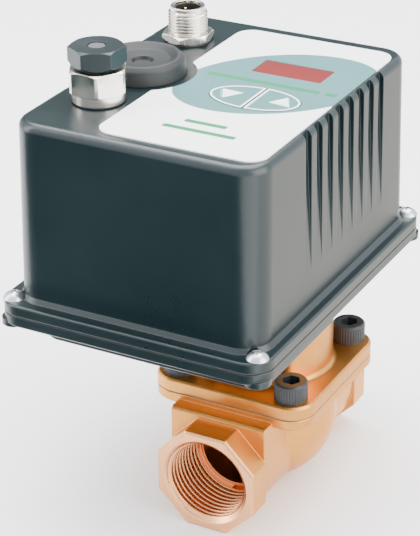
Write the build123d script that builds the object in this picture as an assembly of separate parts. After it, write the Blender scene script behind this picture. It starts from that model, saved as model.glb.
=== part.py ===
from build123d import *
import math
import os

# Motor driven two-way globe valve: a brass body, a bonnet, and a geared stepper drive in a ribbed housing.
# Millimetres. +Z is up along the stem, +Y runs along the pipe. Shapes are drawn from the centre of the inlet's
# mouth, and saved with the origin MOUTH_DEPTH inside it, where the inlet's thread is full.

# ---- valve body ----
FACE_TO_FACE = 80.0        # inlet mouth to outlet mouth
STEM_Y = FACE_TO_FACE / 2  # the stem's axis is x = 0, y = STEM_Y
OCT_AF = 32.0              # octagon across flats
COLLAR_LEN = 8.3           # octagonal collar at each end
NECK_HALF = 15.5           # half width of the neck's upper, flat-sided part
NECK_R = 15.4
THREAD_PITCH = 1.814       # G 3/4
THREAD_MAJOR_R = 13.22
THREAD_MINOR_R = 12.06
THREAD_LEN = 18.6
SOCKET_DEPTH = 19.0        # from the mouth to the end of the threaded wall
SLEEVE_R = 14.8
MOUTH_DEPTH = 2.0
PASSAGE_R = 10.6
BOWL_R = 22.0
BOWL_Z = 6.0
CAVITY_R = 18.2
FLANGE_HX = 25.8
FLANGE_HY = 27.0
FLANGE_R = 7.5
BODY_FLANGE_BOTTOM = 16.2
BODY_FLANGE_TOP = 19.6
GASKET_T = 0.4
SPIGOT_BOTTOM = 17.0
SEAT_TOP = 1.5
SEAT_R = 8.0
WEB_T = 3.0

# ---- bonnet and its screws ----
BONNET_FLANGE_BOTTOM = BODY_FLANGE_TOP + GASKET_T
BONNET_FLANGE_TOP = 24.0
BONNET_R = 20.5
BOLT_X = 18.5
BOLT_Y = 20.4
M6_R = 3.0
M6_HEAD_R = 5.0
M6_HEAD_H = 6.0
STEM_R = 5.0
SCREW_R = 4.0              # lead screw, 8 mm with 2 mm lead
RUN = 0.05                 # radial running clearance

# ---- housing ----
BOX_X = -15.0
BOX_Y = 38.0
FLANGE_TOP = 55.5
COVER_FLANGE_T = 3.2
SEAL_T = 0.4
COVER_SEAM = FLANGE_TOP - COVER_FLANGE_T
BASE_TOP = COVER_SEAM - SEAL_T
BASE_BOTTOM = 48.6
TRAY_BOTTOM = 46.0
COVER_H = 54.6
COVER_TOP = FLANGE_TOP + COVER_H
RIM_HX = 43.2
RIM_HY = 56.7
RIM_R = 7.5
FOOT_HX = 39.6
FOOT_HY = 52.2
TOP_HX = 39.0
TOP_HY = 51.0
WALL_R = 8.5
WALL_T = 2.5
TOP_T = 2.5
CEILING = COVER_TOP - TOP_T
GROOVE_COUNT = 8
GROOVE_PITCH = 7.0
GROOVE_W = 3.8
GROOVE_DEPTH = 1.65
GROOVE_MID_Y = BOX_Y + 4.2
GROOVE_END_Z = 67.0
CORNER_X = 39.4
CORNER_Y = 51.9
M3_R = 1.5

# ---- what stands on the cover ----
PLUG_X, PLUG_Y = -39.1, 36.9
PLUG_R = 13.1
PLUG_HOLE_R = 10.5
GLAND_X, GLAND_Y = -39.3, 12.0
SOCKET_X, SOCKET_Y = -40.2, 66.7
M12_R = 6.0
M12_PITCH = 1.0
LABEL_X0, LABEL_X1 = -29.2, 22.0
LABEL_Y0, LABEL_Y1 = -8.5, 82.8
LABEL_R = 5.5
LABEL_T = 0.4
LABEL_CUT_R = 16.0
KEYS_X, KEYS_Y = 0.1, 32.2
KEYS_RX, KEYS_RY = 14.0, 8.3
KEY_GAP = 0.5
WINDOW_X, WINDOW_Y = 0.5, 56.1
WINDOW_W, WINDOW_H = 22.3, 10.3

# ---- drive ----
MODULE = 0.8
PRESSURE = math.radians(25)
ADDENDUM = 0.85
DEDENDUM = 1.15
BACKLASH = 0.14
DRIVE_TEETH = 48
IDLER_SMALL = 14
IDLER_LARGE = 40
HAND_TEETH = 20
PINION_TEETH = 12
LOW_Z0, LOW_Z1 = 56.0, 62.0
HIGH_Z0, HIGH_Z1 = 63.5, 68.2
IDLER_X, IDLER_Y = -18.90, 23.95
MOTOR_X, MOTOR_Y = -0.89, 13.55
MOTOR_R = 17.5
MOTOR_H = 22.0
MOTOR_EAR = 21.0
PLATE_Z0, PLATE_Z1 = 71.0, 74.0
BEARING_IN_R, BEARING_OUT_R, BEARING_W = 6.0, 10.5, 5.0
LOW_BEARING_Z = 47.7
HIGH_BEARING_Z = 69.0
BOARD_Z0, BOARD_Z1 = 99.4, 101.0


def cyl(x, y, z0, z1, r):
    return Pos(x, y, (z0 + z1) / 2) * Cylinder(r, z1 - z0)


def tube(x, y, z0, z1, r_in, r_out):
    return cyl(x, y, z0, z1, r_out) - cyl(x, y, z0 - 1, z1 + 1, r_in)


def pipe_y(y0, y1, r, x=0.0, z=0.0):
    return Pos(x, (y0 + y1) / 2, z) * Rot(90, 0, 0) * Cylinder(r, y1 - y0)


def block(x0, x1, y0, y1, z0, z1):
    return Pos((x0 + x1) / 2, (y0 + y1) / 2, (z0 + z1) / 2) * Box(x1 - x0, y1 - y0, z1 - z0)


def plate(cx, cy, hx, hy, r, z0, z1):
    face = Pos(cx, cy, z0) * RectangleRounded(2 * hx, 2 * hy, r)
    return extrude(face, z1 - z0)


def drafted(hx0, hy0, r0, z0, hx1, hy1, r1, z1):
    low = Pos(BOX_X, BOX_Y, z0) * RectangleRounded(2 * hx0, 2 * hy0, r0)
    high = Pos(BOX_X, BOX_Y, z1) * RectangleRounded(2 * hx1, 2 * hy1, r1)
    return loft([low.face(), high.face()])


def prism(x, y, z0, z1, across_flats, sides=6, turn=0.0):
    face = Pos(x, y, z0) * Rot(0, 0, turn) * RegularPolygon(across_flats / 2, sides, major_radius=False)
    return extrude(face, z1 - z0)


def corners(cx, cy, dx, dy):
    return [(cx + sx * dx, cy + sy * dy) for sx in (-1, 1) for sy in (-1, 1)]


def group(shapes):
    return Compound(children=list(shapes))


def save(name, shape):
    export_step(Pos(0, -MOUTH_DEPTH, 0) * shape, f"parts/{name}.step")


def thread_ridge(r_root, r_tip, pitch, length):
    """A helical ridge along +Z from z = 0, with its root a little inside r_root."""
    overlap = 0.3 if r_tip > r_root else -0.3
    half_root = 0.42 * pitch
    half_tip = 0.07 * pitch
    path = Helix(pitch, length, r_root)
    with BuildPart() as ridge:
        with BuildSketch(Plane.XZ):
            with BuildLine():
                Polyline((r_root - overlap, -half_root), (r_tip, -half_tip), (r_tip, half_tip),
                         (r_root - overlap, half_root), close=True)
            make_face()
        sweep(path=path, is_frenet=True)
    return ridge.part


def external_thread(x, y, z0, z1, r_major, pitch):
    """A threaded rod: a core with a helical ridge, cut square at both ends."""
    r_minor = r_major - 0.58 * pitch
    ridge = Pos(x, y, z0 - pitch) * thread_ridge(r_minor, r_major + 0.12, pitch, z1 - z0 + 2 * pitch)
    return (cyl(x, y, z0, z1, r_minor) + ridge) & cyl(x, y, z0, z1, r_major)


def gear_face(teeth, phase):
    """An involute gear outline with one tooth centred on the angle phase, in radians."""
    pitch_r = MODULE * teeth / 2
    base_r = pitch_r * math.cos(PRESSURE)
    tip_r = pitch_r + ADDENDUM * MODULE
    root_r = pitch_r - DEDENDUM * MODULE
    half_pitch_angle = (math.pi * MODULE / 2 - BACKLASH) / (2 * pitch_r)
    involute_at_pitch = math.tan(PRESSURE) - PRESSURE
    radii = [max(root_r, base_r) + (tip_r - max(root_r, base_r)) * k / 3 for k in range(4)]
    flank = [(root_r, None)] if root_r < base_r else []
    flank += [(r, None) for r in radii]
    points = []
    for tooth in range(teeth):
        centre = phase + 2 * math.pi * tooth / teeth
        side = []
        for r, _ in flank:
            roll = math.acos(min(1.0, base_r / max(r, base_r)))
            half = half_pitch_angle + involute_at_pitch - (math.tan(roll) - roll)
            side.append((r, half))
        points += [(r * math.cos(centre - a), r * math.sin(centre - a)) for r, a in side]
        points += [(r * math.cos(centre + a), r * math.sin(centre + a)) for r, a in reversed(side)]
    return make_face(Polyline(*points, close=True))


def gear(x, y, z0, z1, teeth, phase):
    return extrude(Pos(x, y, z0) * gear_face(teeth, phase), z1 - z0)


def mesh_phase(x1, y1, teeth1, phase1, x2, y2, teeth2):
    """The phase that puts gear 2 in mesh with gear 1."""
    line = math.atan2(y2 - y1, x2 - x1)
    u1 = ((line - phase1) / (2 * math.pi / teeth1)) % 1.0
    return line + math.pi - (2 * math.pi / teeth2) * (0.5 - u1)


def socket_screw(x, y, z_seat, length):
    """M6 hex socket cap screw with a knurled head, seated at z_seat and pointing down."""
    head = cyl(x, y, z_seat, z_seat + M6_HEAD_H, M6_HEAD_R)
    head = chamfer(head.edges().group_by(Axis.Z)[-1], 0.5)
    for k in range(36):
        a = 2 * math.pi * k / 36
        groove_x = x + (M6_HEAD_R + 0.12) * math.cos(a)
        groove_y = y + (M6_HEAD_R + 0.12) * math.sin(a)
        head -= cyl(groove_x, groove_y, z_seat + 0.6, z_seat + M6_HEAD_H - 0.7, 0.26)
    head -= prism(x, y, z_seat + 2.6, z_seat + M6_HEAD_H + 1, 5.0)
    return head + cyl(x, y, z_seat - length, z_seat, M6_R - RUN)


def pan_screw(x, y, z_seat, length, r, head_r, head_h, down=True):
    """A domed cross-recess screw. The dome is a cap of a sphere."""
    sphere_r = (head_r ** 2 + head_h ** 2) / (2 * head_h)
    sign = 1 if down else -1
    dome = Pos(x, y, z_seat + sign * (head_h - sphere_r)) * Sphere(sphere_r)
    side = (z_seat, z_seat + head_h) if down else (z_seat - head_h, z_seat)
    dome &= block(x - head_r, x + head_r, y - head_r, y + head_r, side[0], side[1])
    shank = (z_seat - length, z_seat) if down else (z_seat, z_seat + length)
    top = z_seat + sign * head_h
    slot_long = 0.42 * head_r
    slot_wide = 0.09 * head_r
    low, high = sorted((top - sign * 0.4 * head_h, top + sign * 1))
    cross = block(x - slot_long, x + slot_long, y - slot_wide, y + slot_wide, low, high)
    cross += block(x - slot_wide, x + slot_wide, y - slot_long, y + slot_long, low, high)
    return (dome - cross) + cyl(x, y, shank[0], shank[1], r)


def torus_z(x, y, z, major, minor):
    return Pos(x, y, z) * Torus(major, minor)


# ---- valve ----

def octagon_bar(y0, y1):
    face = Plane.XZ.offset(-y0) * Rot(0, 0, 22.5) * RegularPolygon(OCT_AF / 2, 8, major_radius=False)
    return extrude(face, -(y1 - y0))


def body_outside():
    y0, y1 = COLLAR_LEN, FACE_TO_FACE - COLLAR_LEN
    inlet = octagon_bar(0, y0)
    inlet = chamfer(inlet.edges().group_by(Axis.Y)[0], 0.6)
    outlet = octagon_bar(y1, FACE_TO_FACE)
    outlet = chamfer(outlet.edges().group_by(Axis.Y)[-1], 0.6)
    bar = inlet + outlet + pipe_y(y0 - 1, y1 + 1, NECK_R)
    neck = block(-NECK_HALF, NECK_HALF, y0, y1, 0, BODY_FLANGE_BOTTOM + 1.6)
    neck = chamfer(neck.edges().filter_by(Axis.X).group_by(Axis.Z)[-1], 0.8)
    bowl = Pos(0, STEM_Y, BOWL_Z) * Sphere(BOWL_R)
    bowl &= block(-40, 40, -10, 90, -OCT_AF / 2 + 0.1, 40)
    bowl = bowl & block(-40, 40, -10, 90, -40, BOWL_Z)
    bowl += cyl(0, STEM_Y, BOWL_Z, BODY_FLANGE_BOTTOM + 1, BOWL_R)
    belly = bar + neck
    belly += bowl
    belly = soften_belly(belly)
    flange = plate(0, STEM_Y, FLANGE_HX, FLANGE_HY, FLANGE_R, BODY_FLANGE_BOTTOM, BODY_FLANGE_TOP)
    flange = chamfer(flange.edges().group_by(Axis.Z)[0], 0.7)
    return belly + flange


def soften_belly(belly):
    """Fillets where the bowl leaves the neck's flat sides."""
    joints = []
    for edge in belly.edges().filter_by(Axis.Z):
        c = edge.center()
        if abs(abs(c.X) - NECK_HALF) < 0.2 and 12 < abs(c.Y - STEM_Y) < 18 and edge.length > 4:
            joints.append(edge)
    return fillet(joints, 4.0) if len(joints) == 4 else belly


def body_passages():
    inlet = pipe_y(-1, STEM_Y - 6, PASSAGE_R)
    outlet = pipe_y(STEM_Y + 6, FACE_TO_FACE + 1, PASSAGE_R)
    bowl = Pos(0, STEM_Y, BOWL_Z) * Sphere(CAVITY_R)
    bowl &= block(-30, 30, 0, 80, -12.6, BOWL_Z)
    bowl += cyl(0, STEM_Y, BOWL_Z, BODY_FLANGE_TOP + 1, 16.5)
    room = bowl + inlet + outlet
    return room - partition()


def partition():
    """The web between the inlet's lower chamber and the outlet's upper one, with the seat hole."""
    floor = block(-25, 25, STEM_Y - 13, STEM_Y + 13, -WEB_T, 0)
    inlet_wall = block(-25, 25, STEM_Y - 16, STEM_Y - 13, -WEB_T, 14)
    inlet_wall += block(-25, 25, STEM_Y - 19, STEM_Y - 13, 0, 14)
    outlet_wall = block(-25, 25, STEM_Y + 13, STEM_Y + 16, -14, 0)
    outlet_wall += block(-25, 25, STEM_Y + 13, STEM_Y + 19, -14, -WEB_T + 0.01)
    web = floor + inlet_wall + outlet_wall
    return web - cyl(0, STEM_Y, -WEB_T - 1, 1, SEAT_R + 2.0)


def threaded_sleeve():
    """The wall of one port along +Z from its mouth, with the thread cut in it."""
    sleeve = tube(0, 0, 0, SOCKET_DEPTH, THREAD_MINOR_R, SLEEVE_R)
    ridge = thread_ridge(THREAD_MINOR_R, THREAD_MAJOR_R, THREAD_PITCH, THREAD_LEN + THREAD_PITCH)
    sleeve -= Pos(0, 0, -THREAD_PITCH) * ridge
    return sleeve - Pos(0, 0, 0.4) * Cone(THREAD_MAJOR_R + 1.4, THREAD_MINOR_R, 2.2)


def valve_body():
    body = body_outside() - body_passages()
    body -= pipe_y(-1, SOCKET_DEPTH, SLEEVE_R - 0.5)
    body -= pipe_y(FACE_TO_FACE - SOCKET_DEPTH, FACE_TO_FACE + 1, SLEEVE_R - 0.5)
    sleeve = threaded_sleeve()
    body += Rot(-90, 0, 0) * sleeve
    body += Pos(0, FACE_TO_FACE, 0) * Rot(90, 0, 0) * sleeve
    for x, y in corners(0, STEM_Y, BOLT_X, BOLT_Y):
        body -= cyl(x, y, BODY_FLANGE_BOTTOM - 1, BODY_FLANGE_TOP + 1, M6_R)
    return body


def seat_ring():
    ring = tube(0, STEM_Y, -WEB_T, SEAT_TOP - 0.5, SEAT_R, SEAT_R + 2.0 - RUN)
    lip = Pos(0, STEM_Y, SEAT_TOP - 0.25) * Cone(SEAT_R + 1.6, SEAT_R + 0.8, 0.5)
    return ring + (lip - cyl(0, STEM_Y, 0, 5, SEAT_R))


def bonnet():
    flange = plate(0, STEM_Y, FLANGE_HX, FLANGE_HY, FLANGE_R, BONNET_FLANGE_BOTTOM, BONNET_FLANGE_TOP)
    flange = chamfer(flange.edges().group_by(Axis.Z)[-1], 0.6)
    column = cyl(0, STEM_Y, BONNET_FLANGE_BOTTOM, TRAY_BOTTOM, BONNET_R)
    shape = flange + column
    foot = [e for e in shape.edges().filter_by(GeomType.CIRCLE)
            if abs(e.center().Z - BONNET_FLANGE_TOP) < 0.01 and abs(e.radius - BONNET_R) < 0.01]
    shape = fillet(foot, 1.6)
    shape += cyl(0, STEM_Y, SPIGOT_BOTTOM, BONNET_FLANGE_BOTTOM, 16.3)
    shape -= cyl(0, STEM_Y, 10, TRAY_BOTTOM + 1, STEM_R + 1.5)
    shape -= cyl(0, STEM_Y, 29.5, TRAY_BOTTOM + 1, 7.5)
    shape -= block(-12, 12, STEM_Y - 1.6, STEM_Y + 1.6, 29.5, TRAY_BOTTOM + 1)
    for x, y in corners(0, STEM_Y, BOLT_X, BOLT_Y):
        shape -= cyl(x, y, 10, BONNET_FLANGE_TOP + 1, M6_R + 0.3)
    for x, y in base_screw_places():
        shape -= cyl(x, y, 35.5, TRAY_BOTTOM + 1, 2.5)
    return shape


def base_screw_places():
    r = 15.5
    return [(r * math.cos(math.radians(a)), STEM_Y + r * math.sin(math.radians(a))) for a in (45, 135, 225, 315)]


def stem_bush():
    """The flanged guide bush that also carries the two stem seals."""
    shape = cyl(0, STEM_Y, SPIGOT_BOTTOM, 29.5, STEM_R + 1.5 - 0.02)
    shape -= cyl(0, STEM_Y, 10, 40, STEM_R + RUN)
    for z in (20.5, 25.0):
        shape -= tube(0, STEM_Y, z, z + 2.0, 1, STEM_R + 1.1)
    return shape


def stem_seals():
    return group([torus_z(0, STEM_Y, z + 1.0, STEM_R + 0.57, 0.5) for z in (20.5, 25.0)])


def bonnet_gasket():
    shape = plate(0, STEM_Y, FLANGE_HX - 0.3, FLANGE_HY - 0.3, FLANGE_R - 0.3,
                  BODY_FLANGE_TOP, BONNET_FLANGE_BOTTOM)
    shape -= cyl(0, STEM_Y, 10, 30, 16.6)
    for x, y in corners(0, STEM_Y, BOLT_X, BOLT_Y):
        shape -= cyl(x, y, 10, 30, M6_R + 0.4)
    return shape


def stem():
    shape = cyl(0, STEM_Y, -3.6, 4.1, 2.5) + cyl(0, STEM_Y, 4.1, 38.5, STEM_R)
    shape += cyl(0, STEM_Y, 38.5, 78.0, SCREW_R)
    shape = chamfer(shape.edges().group_by(Axis.Z)[-1], 0.8)
    return shape - pipe_x(-8, 8, STEM_Y, 33.0, 1.5 + 0.01)


def pipe_x(x0, x1, y, z, r):
    return Pos((x0 + x1) / 2, y, z) * Rot(0, 90, 0) * Cylinder(r, x1 - x0)


def guide_pin():
    return pipe_x(-11.4, 11.4, STEM_Y, 33.0, 1.5)


def disc_holder():
    shape = cyl(0, STEM_Y, 4.1, 8.0, 11.0) + cyl(0, STEM_Y, 8.0, 8.6, 7.0)
    shape += tube(0, STEM_Y, 3.0, 4.2, 10.4, 11.0)
    return shape - cyl(0, STEM_Y, 3.9, 12, STEM_R + 0.01)


def seat_disc():
    return tube(0, STEM_Y, SEAT_TOP + 0.1, 4.1, 2.51, 10.35)


def throttle_cone():
    """The profiled plug that throttles the seat, held under the seat disc."""
    cone = Pos(0, STEM_Y, -0.45) * Cone(5.2, SEAT_R - 0.35, 3.1)
    return (cone + cyl(0, STEM_Y, 1.1, SEAT_TOP + 0.1, SEAT_R - 0.35)) - cyl(0, STEM_Y, -6, 6, 2.51)


def cone_nut():
    return prism(0, STEM_Y, -4.4, -2.0, 8.0) - cyl(0, STEM_Y, -6, 6, 2.51)


# ---- housing ----

def cover_outside():
    foot = drafted(FOOT_HX + 1.3, FOOT_HY + 1.3, WALL_R + 1.3, FLANGE_TOP - 0.5,
                   FOOT_HX - 0.02, FOOT_HY - 0.02, WALL_R, FLANGE_TOP + 1.3)
    shape = drafted(FOOT_HX, FOOT_HY, WALL_R, COVER_SEAM, TOP_HX, TOP_HY, WALL_R, COVER_TOP)
    shape = fillet(shape.edges().group_by(Axis.Z)[-1], 2.4)
    rim = plate(BOX_X, BOX_Y, RIM_HX, RIM_HY, RIM_R, COVER_SEAM, FLANGE_TOP)
    rim = fillet(rim.edges().group_by(Axis.Z)[-1], 0.7)
    return shape + foot + rim


def cover_inside():
    return drafted(FOOT_HX - WALL_T, FOOT_HY - WALL_T, WALL_R - WALL_T, COVER_SEAM - 1,
                   TOP_HX - WALL_T, TOP_HY - WALL_T, WALL_R - WALL_T, CEILING)


def side_groove(y, side):
    """A wedge that is deepest at the top edge and runs out down the wall."""
    wall_x = BOX_X + side * TOP_HX
    out_x = wall_x + side * 3.0
    outline = Polyline((wall_x - side * GROOVE_DEPTH, COVER_TOP + 1), (wall_x + side * 0.48, GROOVE_END_Z),
                       (out_x, GROOVE_END_Z), (out_x, COVER_TOP + 1), close=True)
    face = Plane.XZ.offset(-(y - GROOVE_W / 2)) * make_face(outline)
    return extrude(face, -GROOVE_W)


def key_oval(grow=0.0):
    return Pos(KEYS_X, KEYS_Y) * Ellipse(KEYS_RX + grow, KEYS_RY + grow)


def cover():
    shape = cover_outside() - cover_inside()
    first = GROOVE_MID_Y - (GROOVE_COUNT - 1) * GROOVE_PITCH / 2
    for k in range(GROOVE_COUNT):
        for side in (-1, 1):
            shape -= side_groove(first + k * GROOVE_PITCH, side)
    for x, y in board_screw_places():
        shape += cyl(x, y, BOARD_Z1, CEILING + 0.5, 3.2) - cyl(x, y, BOARD_Z1 - 1, BOARD_Z1 + 5, 1.25)
    for x, y in corners(BOX_X, BOX_Y, CORNER_X, CORNER_Y):
        shape -= cyl(x, y, 50, FLANGE_TOP + 1, M3_R + 0.1)
        shape -= cyl(x, y, FLANGE_TOP, FLANGE_TOP + 2.2, 3.45)
    shape -= cyl(PLUG_X, PLUG_Y, 100, 115, PLUG_HOLE_R)
    shape -= cyl(GLAND_X, GLAND_Y, 100, 115, M12_R + 0.1)
    shape -= cyl(SOCKET_X, SOCKET_Y, 100, 115, M12_R + 0.1)
    shape -= block(WINDOW_X - WINDOW_W / 2, WINDOW_X + WINDOW_W / 2,
                   WINDOW_Y - WINDOW_H / 2, WINDOW_Y + WINDOW_H / 2, 100, 115)
    shape -= extrude(Pos(0, 0, COVER_TOP - 0.8) * key_oval(0.4), 2)
    for x in key_plunger_places():
        shape -= cyl(x, KEYS_Y, 100, 115, 2.5)
    return shape


def key_plunger_places():
    return (KEYS_X - 6.5, KEYS_X + 6.5)


def cover_gasket():
    shape = plate(BOX_X, BOX_Y, RIM_HX - 0.3, RIM_HY - 0.3, RIM_R - 0.3, BASE_TOP, COVER_SEAM)
    shape -= plate(BOX_X, BOX_Y, FOOT_HX - WALL_T, FOOT_HY - WALL_T, WALL_R - WALL_T, 40, 60)
    for x, y in corners(BOX_X, BOX_Y, CORNER_X, CORNER_Y):
        shape -= cyl(x, y, 40, 60, M3_R + 0.2)
    return shape


def cover_screws():
    return group(pan_screw(x, y, FLANGE_TOP, 7.8, M3_R, 3.25, 2.1)
                 for x, y in corners(BOX_X, BOX_Y, CORNER_X, CORNER_Y))


def base_plate():
    shape = plate(BOX_X, BOX_Y, RIM_HX, RIM_HY, RIM_R, BASE_BOTTOM, BASE_TOP)
    shape = chamfer(shape.edges().group_by(Axis.Z)[0], 0.5)
    tray = plate(BOX_X + 6.4, BOX_Y - 29.0, 35.4, 25.0, 5.0, TRAY_BOTTOM, BASE_BOTTOM + 1)
    tray = chamfer(tray.edges().group_by(Axis.Z)[0], 0.5)
    shape += tray
    shape += cyl(0, STEM_Y, TRAY_BOTTOM, BASE_BOTTOM + 1, BONNET_R + 2.4)
    for x, y in corners(BOX_X, BOX_Y, CORNER_X, CORNER_Y):
        shape += cyl(x, y, BASE_BOTTOM - 1, BASE_BOTTOM + 1, 3.8)
        shape -= cyl(x, y, BASE_BOTTOM - 3, BASE_TOP + 1, M3_R + 0.02)
    shape -= cyl(0, STEM_Y, LOW_BEARING_Z, BASE_TOP + 1, BEARING_OUT_R)
    shape -= cyl(0, STEM_Y, 40, BASE_TOP + 1, 8.6)
    shape -= block(-12, 12, STEM_Y - 1.7, STEM_Y + 1.7, 40, LOW_BEARING_Z - 0.6)
    for x, y in base_screw_places():
        shape -= cyl(x, y, 40, BASE_TOP + 1, 2.6)
        shape -= Pos(x, y, BASE_TOP - 1.25) * Cone(2.5, 5.0, 2.5)
    shape -= cyl(IDLER_X, IDLER_Y, 49.0, BASE_TOP + 1, 2.0)
    shape -= cyl(PLUG_X, PLUG_Y, 49.6, BASE_TOP + 1, 3.0 + RUN)
    for x, y in pillar_places():
        shape -= cyl(x, y, 49.6, BASE_TOP + 1, 1.5)
    return shape


def base_screws():
    def one(x, y):
        head = Pos(x, y, BASE_TOP - 1.35) * Cone(2.3, 4.7, 2.4)
        return (head - prism(x, y, BASE_TOP - 1.7, BASE_TOP + 1, 3.0)) + cyl(x, y, 37.0, BASE_TOP - 2.5, 2.45)
    return group(one(x, y) for x, y in base_screw_places())


# ---- label, keys and display ----

def keypad_label():
    cx, cy = (LABEL_X0 + LABEL_X1) / 2, (LABEL_Y0 + LABEL_Y1) / 2
    shape = plate(cx, cy, (LABEL_X1 - LABEL_X0) / 2, (LABEL_Y1 - LABEL_Y0) / 2, LABEL_R,
                  COVER_TOP, COVER_TOP + LABEL_T)
    shape -= cyl(PLUG_X, PLUG_Y, 100, 115, LABEL_CUT_R)
    shape -= extrude(Pos(0, 0, 105) * key_oval(0.15), 10)
    shape -= block(WINDOW_X - WINDOW_W / 2, WINDOW_X + WINDOW_W / 2,
                   WINDOW_Y - WINDOW_H / 2, WINDOW_Y + WINDOW_H / 2, 100, 115)
    return shape


def key(side):
    oval = extrude(Pos(0, 0, COVER_TOP - 0.25) * key_oval(-0.1), 0.75)
    x = KEYS_X + side * 6.5
    inner = KEYS_X + side * KEY_GAP / 2
    outer = KEYS_X + side * 20
    pad = oval & block(min(inner, outer), max(inner, outer), KEYS_Y - 20, KEYS_Y + 20, 100, 120)
    return pad + cyl(x, KEYS_Y, BOARD_Z1 + 4.8, COVER_TOP, 2.0)


def display_window():
    g = 0.1
    return block(WINDOW_X - WINDOW_W / 2 + g, WINDOW_X + WINDOW_W / 2 - g,
                 WINDOW_Y - WINDOW_H / 2 + g, WINDOW_Y + WINDOW_H / 2 - g, COVER_TOP - 1.0, COVER_TOP + 0.3)


def display_module():
    shape = block(WINDOW_X - 11.0, WINDOW_X + 11.0, WINDOW_Y - 5.0, WINDOW_Y + 5.0, BOARD_Z1, COVER_TOP - 1.3)
    for k in (-1, 0, 1):
        shape -= block(WINDOW_X + 7.0 * k - 2.6, WINDOW_X + 7.0 * k + 2.6, WINDOW_Y - 4.0, WINDOW_Y + 4.0,
                       COVER_TOP - 1.6, COVER_TOP)
    return shape


def board_screw_places():
    return [(-23.0, -2.0), (15.5, -2.0), (-23.0, 78.0), (15.5, 78.0)]


def control_board():
    shape = plate(-3.75, 38.0, 23.25, 44.0, 2.0, BOARD_Z0, BOARD_Z1)
    for x, y in board_screw_places():
        shape -= cyl(x, y, 90, 110, 1.5)
    shape -= cyl(PLUG_X, PLUG_Y, 90, 110, 13.0)
    return shape


def board_screws():
    return group(pan_screw(x, y, BOARD_Z0, 5.5, 1.2, 2.6, 1.4, down=False) for x, y in board_screw_places())


def key_switches():
    def one(x):
        base = block(x - 3, x + 3, KEYS_Y - 3, KEYS_Y + 3, BOARD_Z1, BOARD_Z1 + 3.4)
        return base + cyl(x, KEYS_Y, BOARD_Z1 + 3.4, BOARD_Z1 + 4.2, 1.7)
    return group(one(x) for x in key_plunger_places())


def board_parts():
    chip = block(-12, -2, 8, 18, BOARD_Z1, BOARD_Z1 + 1.6)
    driver = block(6, 12, 6, 14, BOARD_Z1, BOARD_Z1 + 1.8)
    caps = [cyl(x, y, BOARD_Z1, BOARD_Z1 + 5.5, 3.0) for x, y in ((-18, 72), (-10, 72))]
    header = block(2, 16, 66, 72, BOARD_Z1, BOARD_Z1 + 5.5)
    return group([chip, driver, header] + caps)


# ---- connector and gland ----

def chamfered_hex(x, y, z0, z1, across_flats, turn):
    """A hexagon whose corners are turned down to a 30 degree cone at both ends."""
    height = z1 - z0
    flat_r = across_flats / 2 + 0.1
    wide_r = flat_r + height / math.tan(math.radians(30))
    shape = prism(x, y, z0, z1, across_flats, turn=turn)
    shape &= Pos(x, y, (z0 + z1) / 2) * Cone(wide_r, flat_r, height)
    return shape & Pos(x, y, (z0 + z1) / 2) * Cone(flat_r, wide_r, height)


def socket_shell():
    shape = chamfered_hex(SOCKET_X, SOCKET_Y, COVER_TOP + 0.6, COVER_TOP + 3.0, 14.0, 40)
    shape += external_thread(SOCKET_X, SOCKET_Y, COVER_TOP + 2.9, COVER_TOP + 10.0, M12_R, M12_PITCH)
    shape += cyl(SOCKET_X, SOCKET_Y, COVER_TOP + 9.9, COVER_TOP + 11.2, 5.3)
    shape += cyl(SOCKET_X, SOCKET_Y, 100.0, COVER_TOP + 1, M12_R - 0.1)
    shape -= cyl(SOCKET_X, SOCKET_Y, 90, COVER_TOP + 12, 4.3)
    return shape


def socket_insert():
    shape = cyl(SOCKET_X, SOCKET_Y, 98.0, COVER_TOP + 4.0, 4.25)
    shape += tube(SOCKET_X, SOCKET_Y, COVER_TOP + 3.9, COVER_TOP + 10.4, 3.95, 4.25)
    for x, y in pin_places():
        shape -= cyl(x, y, 90, 120, 0.5)
    return shape


def pin_places():
    ring = [(2.5 * math.cos(math.radians(a)), 2.5 * math.sin(math.radians(a))) for a in (45, 135, 225, 315)]
    return [(SOCKET_X + x, SOCKET_Y + y) for x, y in ring + [(0, 0)]]


def socket_pins():
    def one(x, y):
        pin = cyl(x, y, 94.0, COVER_TOP + 9.6, 0.5)
        return fillet(pin.edges().group_by(Axis.Z)[-1], 0.3)
    return group(one(x, y) for x, y in pin_places())


def socket_seal():
    return tube(SOCKET_X, SOCKET_Y, COVER_TOP, COVER_TOP + 0.6, M12_R + 0.1, 6.9)


def locknut(x, y):
    return prism(x, y, CEILING - 3.0, CEILING, 15.0) - cyl(x, y, 90, 120, M12_R + 0.02)


def gland_body():
    """Nickel gland: a round lower collar, the spanner hexagon and the rear thread through the cover."""
    collar = cyl(GLAND_X, GLAND_Y, COVER_TOP + 0.5, COVER_TOP + 3.4, 7.7)
    hexagon = chamfered_hex(GLAND_X, GLAND_Y, COVER_TOP + 3.2, COVER_TOP + 10.2, 15.6, -2)
    hexagon &= cyl(GLAND_X, GLAND_Y, 100, 130, 8.7)
    neck = cyl(GLAND_X, GLAND_Y, COVER_TOP + 10.0, COVER_TOP + 15.0, 5.6)
    rear = cyl(GLAND_X, GLAND_Y, 100.6, COVER_TOP + 1, M12_R - 0.02)
    shape = collar + hexagon + neck + rear
    shape -= cyl(GLAND_X, GLAND_Y, 90, 130, 3.6)
    return shape - cyl(GLAND_X, GLAND_Y, COVER_TOP + 6.0, 130, 4.6)


def gland_seal():
    return tube(GLAND_X, GLAND_Y, COVER_TOP, COVER_TOP + 0.5, M12_R + 0.1, 7.3)


def gland_insert():
    shape = tube(GLAND_X, GLAND_Y, COVER_TOP + 6.0, COVER_TOP + 15.4, 2.6, 4.55)
    return shape


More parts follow.
